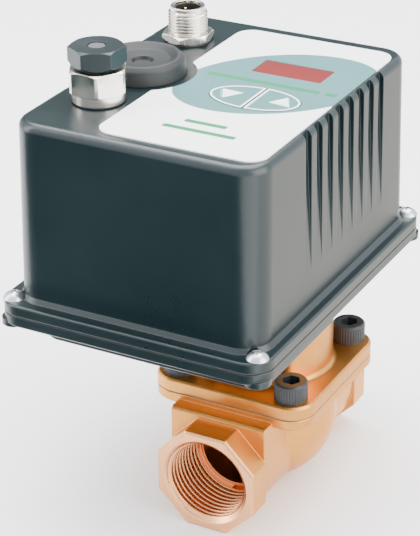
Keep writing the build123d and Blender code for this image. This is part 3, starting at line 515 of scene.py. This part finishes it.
def film_finish(name, ground_color):
    """Screen printed film: a plain ground with the oval field over it."""
    user = bpy.context.scene.actuator_label
    made, t, shader = material(name)
    edge = t.group(soft_edge_group(), Radius=0.12 * MM)
    skin = t.group(grain_group(), Scale=5200.0, Patch_Scale=35.0)
    ground = t.mix(skin["Patch"], rgba([c * 0.975 for c in ground_color]), rgba(ground_color))
    place = t.node("ShaderNodeTexCoord").outputs["Object"]
    keys = key_centre()
    centre = (keys.x + FIELD_OFFSET[0], keys.y + FIELD_OFFSET[1])
    inside = ellipse_mask(t, place, centre, (user.field_long, user.field_short), FIELD_TURN)
    print_tone = t.mix(skin["Speck"], rgba([c * 0.985 for c in user.field_color]), rgba(user.field_color))
    t.link(t.mix(inside, ground, print_tone), shader.inputs["Base Color"])
    t.link(t.remap(skin["Patch"], 0.0, 1.0, 0.36, 0.46), shader.inputs["Roughness"])
    bump(t, shader, skin["Height"], 0.006 * MM, 0.5, edge["Normal"])
    return made


def ink_finish(name, color):
    """Thin printed ink of one colour."""
    return worn_finish(name, color, color, 0.42, radius=0.05 * MM, grain=6000.0, depth=0.004 * MM,
                       spread=0.05)


def bar_outline(x0, x1, y0, y1, radius):
    """Outline of an upright rectangle with round corners."""
    outline = []
    corners = ((x1 - radius, y1 - radius, 0), (x0 + radius, y1 - radius, 90),
               (x0 + radius, y0 + radius, 180), (x1 - radius, y0 + radius, 270))
    for cx, cy, start in corners:
        for k in range(5):
            a = math.radians(start + 22.5 * k)
            outline.append((cx + radius * math.cos(a), cy + radius * math.sin(a)))
    return outline


class ACTUATOR_OT_label(bpy.types.Operator):
    """Print the keypad label: the oval field and plain bars where a maker would put words"""
    bl_idname = "actuator.label"
    bl_label = "Keypad label"

    def execute(self, context):
        user = context.scene.actuator_label
        dress(["keypad_label"], film_finish("printed label film", user.film_color))
        ink = ink_finish("green ink", user.ink_color)
        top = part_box("keypad_label")[1].z
        keys = key_centre()
        for name, x0, x1, y0, y1 in BARS:
            outline = bar_outline(keys.x + x0 * MM, keys.x + x1 * MM,
                                  keys.y + y0 * MM, keys.y + y1 * MM, BAR_CORNER)
            piece(name, *slab(outline, top - INK_BURIED, top + 0.03 * MM), ink, "housing", "label_white",
                  smooth=False)
        return {"FINISHED"}


def half_oval(centre, half, inset, side, gap, steps=48):
    """Outline of one half of the key oval, pulled in by inset from its edge and its divider."""
    a, b = half[0] - inset, half[1] - inset
    limit = math.acos(min(1.0, (gap + inset) / a))
    points = []
    for k in range(steps + 1):
        angle = -limit + 2 * limit * k / steps
        points.append((centre.x + side * a * math.cos(angle), centre.y + b * math.sin(angle)))
    return points


class ACTUATOR_OT_keys(bpy.types.Operator):
    """Finish the two keys, with a white line round each and an arrow on it"""
    bl_idname = "actuator.keys"
    bl_label = "Keys"

    def execute(self, context):
        user = context.scene.actuator_label
        dress(["up_key", "down_key"], film_finish("key film", user.field_color))
        line = ink_finish("white ink", (0.90, 0.91, 0.91))
        shadow = ink_finish("arrow edge ink", (0.16, 0.42, 0.36))
        centre = key_centre()
        low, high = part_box("down_key")
        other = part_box("up_key")[1]
        half = ((other.x - low.x) / 2, (high.y - low.y) / 2)
        z0, z1 = centre.z - INK_BURIED, centre.z + INK_PROUD
        for name, side in (("down_key", -1), ("up_key", 1)):
            outer = half_oval(centre, half, KEY_MARGIN, side, KEY_GAP)
            inner = half_oval(centre, half, KEY_MARGIN + user.line_width, side, KEY_GAP)
            piece(name + "_line", *band(outer, inner, z0, z1), line, name, "key_film", smooth=False)
        for name, corners in ARROWS:
            points = [(centre.x + x * MM, centre.y + y * MM) for x, y in corners]
            side = -1 if name == "down_key" else 1
            moved = [(x + ARROW_EDGE[0] * side, y + ARROW_EDGE[1]) for x, y in points]
            piece(name + "_arrow_edge", *slab(moved, z0, z0 + INK_PROUD), shadow, name, "key_film",
                  smooth=False)
            piece(name + "_arrow", *slab(points, z0, z1 + 0.02 * MM), line, name, "key_film", smooth=False)
        return {"FINISHED"}


def window_finish():
    """Glossy red plastic over the display."""
    made, t, shader = material("red display window")
    edge = t.group(soft_edge_group(), Radius=0.15 * MM)
    skin = t.group(grain_group(), Scale=900.0, Patch_Scale=40.0)
    red = t.mix(skin["Patch"], (0.17, 0.020, 0.021, 1.0), (0.21, 0.026, 0.026, 1.0))
    t.link(red, shader.inputs["Base Color"])
    t.link(t.remap(skin["Patch"], 0.0, 1.0, 0.14, 0.22), shader.inputs["Roughness"])
    shader.inputs["Coat Weight"].default_value = 0.4
    bump(t, shader, skin["Height"], 0.004 * MM, 0.4, edge["Normal"])
    return made


class ACTUATOR_OT_display(bpy.types.Operator):
    """Finish the display window and the module under it"""
    bl_idname = "actuator.display"
    bl_label = "Display"

    def execute(self, context):
        dress(["display_window"], window_finish())
        dress(["display_module", "key_switches", "board_parts"], worn_finish(
            "component plastic", (0.018, 0.018, 0.02), (0.06, 0.06, 0.06), 0.48, grain=3000.0,
            depth=0.02 * MM))
        return {"FINISHED"}


# ---- connections ----

# The plug connector's shell: radii, then heights over the cover
SHELL_BORE = 4.3 * MM
SHELL_BARREL = 5.9 * MM
SHELL_FACETS = 144
HEXAGON_FLATS = 14.0 * MM
HEXAGON_TURN = math.radians(40)
HEXAGON_FROM, HEXAGON_TO = 0.6 * MM, 3.0 * MM
HEXAGON_STEPS = 12
THREAD_CREST, THREAD_DEPTH, THREAD_PITCH = 5.99 * MM, 0.58 * MM, 1.0 * MM
THREAD_TO = 10.0 * MM
THREAD_STEPS = 98
THREAD_RELIEF = 0.2 * MM
COLLAR_RADIUS = 5.3 * MM
COLLAR_TO = 11.2 * MM
# The thread's groove over half a pitch: where it begins to fall, and how far it takes to reach its floor
GROOVE_EDGE, GROOVE_FLANK = 0.86, 0.66


def turned_rows(rows, centre, count):
    """Vertices and faces of a closed skin made of rows, each a height and a radius for any direction."""
    vertices = []
    for z, radius in rows:
        for k in range(count):
            a = 2 * math.pi * k / count
            r = radius(a)
            vertices.append((centre[0] + r * math.cos(a), centre[1] + r * math.sin(a), z))
    faces = []
    for j in range(len(rows)):
        upper = (j + 1) % len(rows)
        for k in range(count):
            n = (k + 1) % count
            faces.append((j * count + k, j * count + n, upper * count + n, upper * count + k))
    return vertices, faces


def plain(radius):
    """The same radius in every direction."""
    return lambda angle: radius


def hexagon_row(z, z0, z1, across_flats, turn):
    """One row of a hexagon whose corners are turned down to 30 degree cones."""
    cone = across_flats / 2 + 0.1 * MM + min(z - z0, z1 - z) / math.tan(math.radians(30))

    def radius(angle):
        off = (angle - turn) % (math.pi / 3) - math.pi / 6
        return min(across_flats / 2 / math.cos(off), cone)
    return z, radius


def thread_row(z, z0, z1):
    """One row of a right-hand thread with a relief at its foot and a lead-in at its end."""
    root = THREAD_CREST - THREAD_DEPTH
    limit = min(THREAD_CREST, root + max(0.0, z - z0 - THREAD_RELIEF), root + (z1 - z))

    def radius(angle):
        phase = (z / THREAD_PITCH - angle / (2 * math.pi)) % 1.0
        rise = abs(phase - 0.5) * 2
        cut = min(1.0, max(0.0, (GROOVE_EDGE - rise) / GROOVE_FLANK))
        return min(THREAD_CREST - THREAD_DEPTH * cut, limit)
    return z, radius


def threaded_shell_rows(low, top):
    """The connector's shell: a barrel through the cover, a hexagon, an M12 x 1 thread and a plain collar."""
    hexagon = (top + HEXAGON_FROM, top + HEXAGON_TO)
    thread = (hexagon[1], top + THREAD_TO)
    collar = top + COLLAR_TO
    rows = [(low, plain(SHELL_BORE)), (low, plain(SHELL_BARREL)), (hexagon[0], plain(SHELL_BARREL))]
    for k in range(HEXAGON_STEPS + 1):
        z = hexagon[0] + (hexagon[1] - hexagon[0]) * k / HEXAGON_STEPS
        rows.append(hexagon_row(z, hexagon[0], hexagon[1], HEXAGON_FLATS, HEXAGON_TURN))
    for k in range(THREAD_STEPS + 1):
        z = thread[0] + (thread[1] - thread[0]) * k / THREAD_STEPS
        rows.append(thread_row(z, thread[0], thread[1]))
    rows += [(thread[1], plain(COLLAR_RADIUS)), (collar - 0.2 * MM, plain(COLLAR_RADIUS)),
             (collar, plain(5.12 * MM)), (collar, plain(4.45 * MM)), (collar - 0.15 * MM, plain(SHELL_BORE))]
    return rows


class ACTUATOR_OT_connector(bpy.types.Operator):
    """Model the plug connector's threaded shell and finish the rest of it"""
    bl_idname = "actuator.connector"
    bl_label = "Plug connector"

    def execute(self, context):
        user = context.scene.actuator_metal
        low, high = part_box("socket_insert")
        centre = (low + high) / 2
        finish = turned_finish("turned nickel plate", user.nickel_color, 0.19, tuple(centre), 0.14 * MM)
        dress(["socket_locknut"], finish)
        rows = threaded_shell_rows(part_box("socket_shell")[0].z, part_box("cover")[1].z)
        made = piece("connector_shell", *turned_rows(rows, centre, SHELL_FACETS), finish, "housing", "nickel")
        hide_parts("socket_shell")
        dress(["socket_insert"], worn_finish(
            "insert plastic", (0.016, 0.016, 0.017), (0.05, 0.05, 0.05), 0.5, grain=3000.0, depth=0.02 * MM))
        dress(["socket_pins"], worn_finish(
            "gold plated pin", (0.90, 0.66, 0.26), (1.0, 0.80, 0.42), 0.22, metallic=1.0,
            radius=0.1 * MM, grain=5000.0, depth=0.004 * MM))
        return {"FINISHED"}


class ACTUATOR_OT_gland(bpy.types.Operator):
    """Finish the cable gland, its cap nut and the peg that closes it"""
    bl_idname = "actuator.gland"
    bl_label = "Cable gland"

    def execute(self, context):
        user = context.scene.actuator_metal
        low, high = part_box("gland_body")
        centre = (low + high) / 2
        dress(["gland_body", "gland_locknut"], turned_finish(
            "gland nickel plate", user.nickel_color, 0.20, tuple(centre), 0.2 * MM, 1500.0))
        dress(["gland_nut"], worn_finish(
            "black cap nut", (0.002, 0.010, 0.012), (0.02, 0.028, 0.03), 0.38, radius=0.3 * MM,
            grain=1800.0, depth=0.012 * MM))
        dress(["gland_insert", "gland_blank"], worn_finish(
            "gland rubber", (0.07, 0.072, 0.074), (0.1, 0.1, 0.1), 0.6, grain=2500.0, depth=0.03 * MM))
        return {"FINISHED"}


class ACTUATOR_OT_plug(bpy.types.Operator):
    """Model the rubber plug over the hand drive as one soft-edged moulding"""
    bl_idname = "actuator.plug"
    bl_label = "Rubber plug"

    def execute(self, context):
        user = context.scene.actuator_plug
        low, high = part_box("override_plug")
        centre = (low + high) / 2
        r = (high.x - low.x) / 2
        top = high.z
        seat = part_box("keypad_label")[0].z
        profile = [
            (0.0, top - 3.1 * MM), (2.75 * MM, top - 3.05 * MM), (3.25 * MM, top - 1.72 * MM),
            (8.2 * MM, top - 1.55 * MM), (10.3 * MM, top - 0.05 * MM), (11.2 * MM, top - 0.02 * MM),
            (12.5 * MM, top - 1.35 * MM), (r - 0.02 * MM, seat + 0.35 * MM), (r, seat + 0.02 * MM),
            (10.42 * MM, seat + 0.02 * MM), (10.42 * MM, low.z + 0.6 * MM), (9.8 * MM, low.z),
            (8.45 * MM, low.z), (8.4 * MM, seat + 1.0 * MM), (0.0, seat + 1.0 * MM)]
        finish = worn_finish("plug rubber", user.rubber_color, (0.04, 0.043, 0.043), 0.54, radius=0.25 * MM,
                             grain=1900.0, depth=0.03 * MM, spread=0.07, wear=0.35)
        made = piece("hand_drive_plug", *lathe(rounded(profile, 0.35 * MM), centre, user.facets), finish,
                     "plug", "plug_rubber", sharp_angle=60.0)
        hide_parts("override_plug")
        return {"FINISHED"}


# ---- valve ----

def brass_finish():
    """Forged brass with bright machined mouths, bores and seats."""
    user = bpy.context.scene.actuator_metal
    made, t, shader = material("forged brass")
    edge = t.group(soft_edge_group(), Radius=0.55 * MM, Breakup=300.0)
    skin = t.group(grain_group(), Scale=1100.0, Patch_Scale=26.0)
    marks = t.group(cutter_marks_group(), Centre=(0, 0, 0), Flatten=ACROSS_Y, Scale=1900.0)
    place = t.node("ShaderNodeTexCoord").outputs["Object"]
    parts = t.node("ShaderNodeSeparateXYZ")
    t.link(place, parts.inputs[0])
    low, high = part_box("valve_body")
    middle = (low.y + high.y) / 2
    off = t.math("ABSOLUTE", t.math("SUBTRACT", parts.outputs["Y"], middle))
    mouth = t.remap(off, (high.y - low.y) / 2 - 0.9 * MM, (high.y - low.y) / 2 - 0.3 * MM)
    flat = t.node("ShaderNodeVectorMath", operation="MULTIPLY")
    t.link(place, flat.inputs[0])
    flat.inputs[1].default_value = (1.0, 0.0, 1.0)
    length = t.node("ShaderNodeVectorMath", operation="LENGTH")
    t.link(flat.outputs["Vector"], length.inputs[0])
    bore = t.remap(length.outputs["Value"], 14.0 * MM, 14.5 * MM, 1.0, 0.0)
    end = t.remap(off, 20.0 * MM, 20.6 * MM)
    cut = t.math("MAXIMUM", mouth, t.math("MULTIPLY", bore, end))
    forged = t.mix(skin["Patch"], rgba([c * 0.80 for c in user.brass_color]), rgba(user.brass_color))
    speck = t.math("MULTIPLY", skin["Speck"], 0.25)
    speckled = t.mix(speck, forged, rgba([c * 0.62 for c in user.brass_color]))
    rubbed = t.mix(t.math("MULTIPLY", edge["Edge"], 0.5), speckled, rgba(user.cut_brass_color))
    t.link(t.mix(cut, rubbed, rgba(user.cut_brass_color)), shader.inputs["Base Color"])
    dull = t.remap(skin["Patch"], 0.0, 1.0, 0.30, 0.42)
    shine = t.remap(marks["Streak"], 0.0, 1.0, 0.22, 0.32)
    rough = t.node("ShaderNodeMix", data_type="FLOAT")
    t.link(cut, rough.inputs["Factor"])
    t.link(dull, rough.inputs[2])
    t.link(shine, rough.inputs[3])
    t.link(rough.outputs[0], shader.inputs["Roughness"])
    shader.inputs["Metallic"].default_value = 1.0
    forged_height = t.math("MULTIPLY", skin["Height"], t.math("SUBTRACT", 1.0, cut))
    cut_height = t.math("MULTIPLY", t.math("MULTIPLY", marks["Height"], 0.4), cut)
    bump(t, shader, t.math("ADD", forged_height, cut_height), 0.035 * MM, 0.6, edge["Normal"])
    return made


class ACTUATOR_OT_valve(bpy.types.Operator):
    """Finish the brass body, the bonnet and the screws that hold them"""
    bl_idname = "actuator.valve"
    bl_label = "Valve"

    def execute(self, context):
        user = context.scene.actuator_metal
        low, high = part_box("bonnet")
        axis = (low + high) / 2
        dress(["valve_body"], brass_finish())
        dress(["bonnet"], turned_finish(
            "turned brass bonnet", user.brass_color, 0.36, tuple(axis), 0.35 * MM, 7000.0))
        dress(["bonnet_screws"], worn_finish(
            "black oxide screw", (0.022, 0.026, 0.030), (0.16, 0.17, 0.18), 0.42, metallic=0.25,
            radius=0.16 * MM, grain=4200.0, depth=0.01 * MM, wear=0.5))
        dress(["bonnet_gasket"], worn_finish(
            "fibre gasket", (0.16, 0.15, 0.14), (0.2, 0.2, 0.19), 0.8, grain=1600.0, depth=0.05 * MM))
        dress(["seat_ring", "throttle_cone", "cone_nut", "disc_holder", "stem"], turned_finish(
            "turned stainless steel", (0.62, 0.61, 0.59), 0.26, tuple(axis), 0.12 * MM))
        dress(["seat_disc"], worn_finish(
            "white seat plastic", (0.78, 0.77, 0.74), (0.84, 0.83, 0.80), 0.5, grain=2800.0,
            depth=0.015 * MM))
        dress(["stem_seals"], worn_finish(
            "seal rubber", (0.02, 0.02, 0.021), (0.03, 0.03, 0.03), 0.5, grain=3200.0, depth=0.01 * MM))
        dress(["stem_bush", "stem_nut", "override_bush", "motor_pinion"], turned_finish(
            "turned bronze", (0.66, 0.44, 0.24), 0.30, tuple(axis), 0.12 * MM))
        return {"FINISHED"}


# ---- drive ----

class ACTUATOR_OT_drive(bpy.types.Operator):
    """Finish the motor, gears, bearings and their plate"""
    bl_idname = "actuator.drive"
    bl_label = "Drive"

    def execute(self, context):
        low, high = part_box("drive_gear")
        axis = tuple((low + high) / 2)
        dress(["gear_plate", "plate_pillars", "base_screws", "board_screws", "guide_pin", "idler_axle",
               "override_shaft", "motor_shaft", "retaining_ring"], worn_finish(
            "plain steel", (0.50, 0.51, 0.52), (0.70, 0.70, 0.70), 0.32, metallic=1.0, radius=0.15 * MM,
            grain=2600.0, depth=0.012 * MM))
        dress(["bearing_outer_races", "bearing_inner_races", "bearing_balls"], turned_finish(
            "ground bearing steel", (0.70, 0.70, 0.71), 0.16, axis, 0.1 * MM, 4200.0))
        dress(["drive_gear", "idler_gear", "override_gear"], worn_finish(
            "moulded gear plastic", (0.66, 0.65, 0.58), (0.76, 0.75, 0.70), 0.42, radius=0.12 * MM,
            grain=1500.0, depth=0.015 * MM))
        dress(["motor"], worn_finish(
            "motor can", (0.34, 0.35, 0.36), (0.60, 0.60, 0.60), 0.36, metallic=0.9, radius=0.3 * MM,
            grain=1800.0, depth=0.02 * MM))
        dress(["control_board"], board_finish())
        return {"FINISHED"}


def board_finish():
    """Green solder mask with fine tracks under it."""
    made, t, shader = material("green circuit board")
    edge = t.group(soft_edge_group(), Radius=0.1 * MM)
    skin = t.group(grain_group(), Scale=1800.0, Patch_Scale=50.0)
    place = t.node("ShaderNodeTexCoord").outputs["Object"]
    tracks = t.node("ShaderNodeTexBrick", offset=0.37, squash=1.6)
    t.link(place, tracks.inputs["Vector"])
    tracks.inputs["Scale"].default_value = 260.0
    tracks.inputs["Mortar Size"].default_value = 0.05
    tracks.inputs["Color1"].default_value = (0.012, 0.10, 0.045, 1.0)
    tracks.inputs["Color2"].default_value = (0.012, 0.12, 0.05, 1.0)
    tracks.inputs["Mortar"].default_value = (0.03, 0.20, 0.08, 1.0)
    t.link(t.mix(t.math("MULTIPLY", skin["Patch"], 0.2), tracks.outputs["Color"], (0.02, 0.09, 0.05, 1.0)),
           shader.inputs["Base Color"])
    t.link(t.remap(skin["Patch"], 0.0, 1.0, 0.28, 0.38), shader.inputs["Roughness"])
    bump(t, shader, tracks.outputs["Fac"], 0.02 * MM, 0.5, edge["Normal"])
    return made


# ---- stage ----

SENSOR_WIDTH = 36.0
LENS_SHIFT = (-0.0080, -0.0028)
WORLD_COLOR, WORLD_STRENGTH = (0.93, 0.95, 1.0), 2.3
# Soft lights: a name, the place from the object's middle, the size, the power and the colour
LIGHTS = (
    ("top_softbox", (-0.10, 0.25, 0.85), (0.9, 0.9), 26.0, (1, 1, 1)),
    ("right_softbox", (0.62, -0.05, 0.20), (0.6, 0.8), 9.0, (1.0, 0.97, 0.93)),
    ("left_strip", (-0.65, -0.35, 0.35), (0.25, 0.9), 6.0, (1, 1, 1)),
)
# Cards that lie just over the floor: a name, the corners, the colour and the strength
FLOOR_CARDS = (
    ("dark_card", ((-0.62, -0.95), (0.10, -0.95), (0.10, -0.075), (-0.62, -0.075)),
     (0.070, 0.115, 0.125), 1.0),
    ("bright_card", ((0.030, -0.05), (0.60, -0.10), (0.60, 0.75), (0.030, 0.75)), (1.0, 0.95, 0.88), 2.7),
)
CARD_LIFT = 0.0005
BACK_CARD = [(-1.5, 0.7, 0.15), (-0.1, 1.35, 0.15), (-0.1, 1.35, 1.3), (-1.5, 0.7, 1.3)]
# The pale floor and its backdrop, in metres across the view
FLOOR_NEAR, FLOOR_FAR, FLOOR_HALF_WIDTH = -2.6, 2.4, 3.4
SWEEP_RADIUS, SWEEP_STEPS, BACKDROP_TOP = 0.9, 12, 3.4
FLOOR_DROP = 0.0001


def aim(location, target):
    """The turn that points a light or camera at a target."""
    return (Vector(target) - Vector(location)).to_track_quat("-Z", "Y")


def soft_light(name, location, target, size, power, color):
    """A rectangular light that the camera doesn't see."""
    data = bpy.data.lights.new(name, "AREA")
    data.shape = "RECTANGLE"
    data.size, data.size_y = size
    data.energy = power
    data.color = color
    made = bpy.data.objects.new(name, data)
    made.location = location
    made.rotation_mode = "QUATERNION"
    made.rotation_quaternion = aim(location, target)
    made.visible_camera = False
    bpy.context.scene.collection.objects.link(made)


def reflection_card(name, corners, color, strength):
    """A card that only glossy surfaces see, as a studio uses to shape reflections."""
    mesh = bpy.data.meshes.new(name)
    mesh.from_pydata(corners, [], [(0, 1, 2, 3)])
    made = bpy.data.materials.new(name)
    made.use_nodes = True
    made.node_tree.nodes.clear()
    t = Tree(made.node_tree)
    glow = t.node("ShaderNodeEmission")
    glow.inputs["Color"].default_value = rgba(color)
    glow.inputs["Strength"].default_value = strength
    output = t.node("ShaderNodeOutputMaterial")
    t.link(glow.outputs["Emission"], output.inputs["Surface"])
    mesh.materials.append(made)
    card = bpy.data.objects.new(name, mesh)
    card.visible_camera = False
    card.visible_diffuse = False
    card.visible_shadow = False
    card.visible_transmission = False
    bpy.context.scene.collection.objects.link(card)


def pale_sweep(floor_z, color):
    """A floor that curves up into a backdrop."""
    profile = [(FLOOR_NEAR, 0.0), (FLOOR_FAR, 0.0)]
    for k in range(1, SWEEP_STEPS + 1):
        a = math.radians(90 * k / SWEEP_STEPS)
        profile.append((FLOOR_FAR + SWEEP_RADIUS * math.sin(a), SWEEP_RADIUS * (1 - math.cos(a))))
    profile.append((FLOOR_FAR + SWEEP_RADIUS, BACKDROP_TOP))
    turn = Matrix.Rotation(bpy.context.scene.actuator_stage.azimuth, 3, "Z")
    vertices, faces = [], []
    for side in (-FLOOR_HALF_WIDTH, FLOOR_HALF_WIDTH):
        for y, z in profile:
            vertices.append(tuple(turn @ Vector((side, y, z)) + Vector((0, 0, floor_z))))
    count = len(profile)
    for k in range(count - 1):
        faces.append((k, count + k, count + k + 1, k + 1))
    mesh = bpy.data.meshes.new("pale_floor")
    mesh.from_pydata(vertices, [], faces)
    mesh.shade_smooth()
    made, t, shader = material("pale floor")
    skin = t.group(grain_group(), Scale=60.0, Patch_Scale=2.0)
    tone = t.mix(skin["Patch"], rgba([c * 0.985 for c in color]), rgba(color))
    t.link(tone, shader.inputs["Base Color"])
    shader.inputs["Roughness"].default_value = 0.85
    shader.inputs["Specular IOR Level"].default_value = 0.1
    mesh.materials.append(made)
    floor = bpy.data.objects.new("pale_floor", mesh)
    bpy.context.scene.collection.objects.link(floor)


class ACTUATOR_OT_stage(bpy.types.Operator):
    """Set up the camera, the pale floor, the reflection cards and the soft lights"""
    bl_idname = "actuator.stage"
    bl_label = "Stage"

    def execute(self, context):
        user = context.scene.actuator_stage
        low, high = CAD_BOX
        middle = (low + high) / 2
        data = bpy.data.cameras.new("camera")
        data.lens = user.lens
        data.sensor_width = SENSOR_WIDTH
        data.shift_x, data.shift_y = LENS_SHIFT
        data.clip_start, data.clip_end = 0.02, 30.0
        camera = bpy.data.objects.new("camera", data)
        context.scene.collection.objects.link(camera)
        a, e = user.azimuth, user.elevation
        back = Vector((math.sin(a) * math.cos(e), -math.cos(a) * math.cos(e), math.sin(e)))
        turn = (-back).to_track_quat("-Z", "Y").to_matrix()
        camera.rotation_mode = "QUATERNION"
        camera.rotation_quaternion = (turn @ Matrix.Rotation(user.roll, 3, "Z")).to_quaternion()
        camera.location = user.camera_place
        context.scene.camera = camera
        pale_sweep(low.z - FLOOR_DROP, user.floor_color)
        world = bpy.data.worlds.new("studio")
        world.use_nodes = True
        sky = world.node_tree.nodes["Background"].inputs
        sky["Color"].default_value = rgba(WORLD_COLOR)
        sky["Strength"].default_value = WORLD_STRENGTH
        context.scene.world = world
        ground = low.z + CARD_LIFT
        for name, corners, color, strength in FLOOR_CARDS:
            reflection_card(name, [(x, y, ground) for x, y in corners], color, strength)
        reflection_card("back_card", BACK_CARD, (0.30, 0.34, 0.34), 1.0)
        for name, offset, size, power, color in LIGHTS:
            soft_light(name, middle + Vector(offset), middle, size, power, color)
        return {"FINISHED"}


class ACTUATOR_PT_panel(bpy.types.Panel):
    """Buttons and settings for the actuator"""
    bl_idname = "ACTUATOR_PT_panel"
    bl_label = "Valve Actuator"
    bl_space_type = "VIEW_3D"
    bl_region_type = "UI"
    bl_category = "Actuator"

    def draw(self, context):
        layout = self.layout
        for operator in OPERATORS:
            layout.operator(operator.bl_idname, text=operator.bl_label)
        for holder in SETTINGS:
            group = getattr(context.scene, holder)
            box = layout.box()
            for name in group.bl_rna.properties.keys():
                if name not in ("rna_type", "name"):
                    box.prop(group, name)


SETTINGS = {
    "actuator_housing": HousingSettings,
    "actuator_label": LabelSettings,
    "actuator_metal": MetalSettings,
    "actuator_plug": PlugSettings,
    "actuator_stage": StageSettings,
}

OPERATORS = (
    ACTUATOR_OT_stage, ACTUATOR_OT_housing, ACTUATOR_OT_label, ACTUATOR_OT_keys, ACTUATOR_OT_display,
    ACTUATOR_OT_connector, ACTUATOR_OT_gland, ACTUATOR_OT_plug, ACTUATOR_OT_valve, ACTUATOR_OT_drive,
)


def register():
    for holder, group in SETTINGS.items():
        bpy.utils.register_class(group)
        setattr(bpy.types.Scene, holder, PointerProperty(type=group))
    for operator in OPERATORS:
        bpy.utils.register_class(operator)
    bpy.utils.register_class(ACTUATOR_PT_panel)


def unregister():
    bpy.utils.unregister_class(ACTUATOR_PT_panel)
    for operator in reversed(OPERATORS):
        bpy.utils.unregister_class(operator)
    for holder, group in SETTINGS.items():
        delattr(bpy.types.Scene, holder)
        bpy.utils.unregister_class(group)


def main():
    register()
    for operator in OPERATORS:
        category, name = operator.bl_idname.split(".")
        getattr(getattr(bpy.ops, category), name)()


if __name__ == "__main__":
    main()
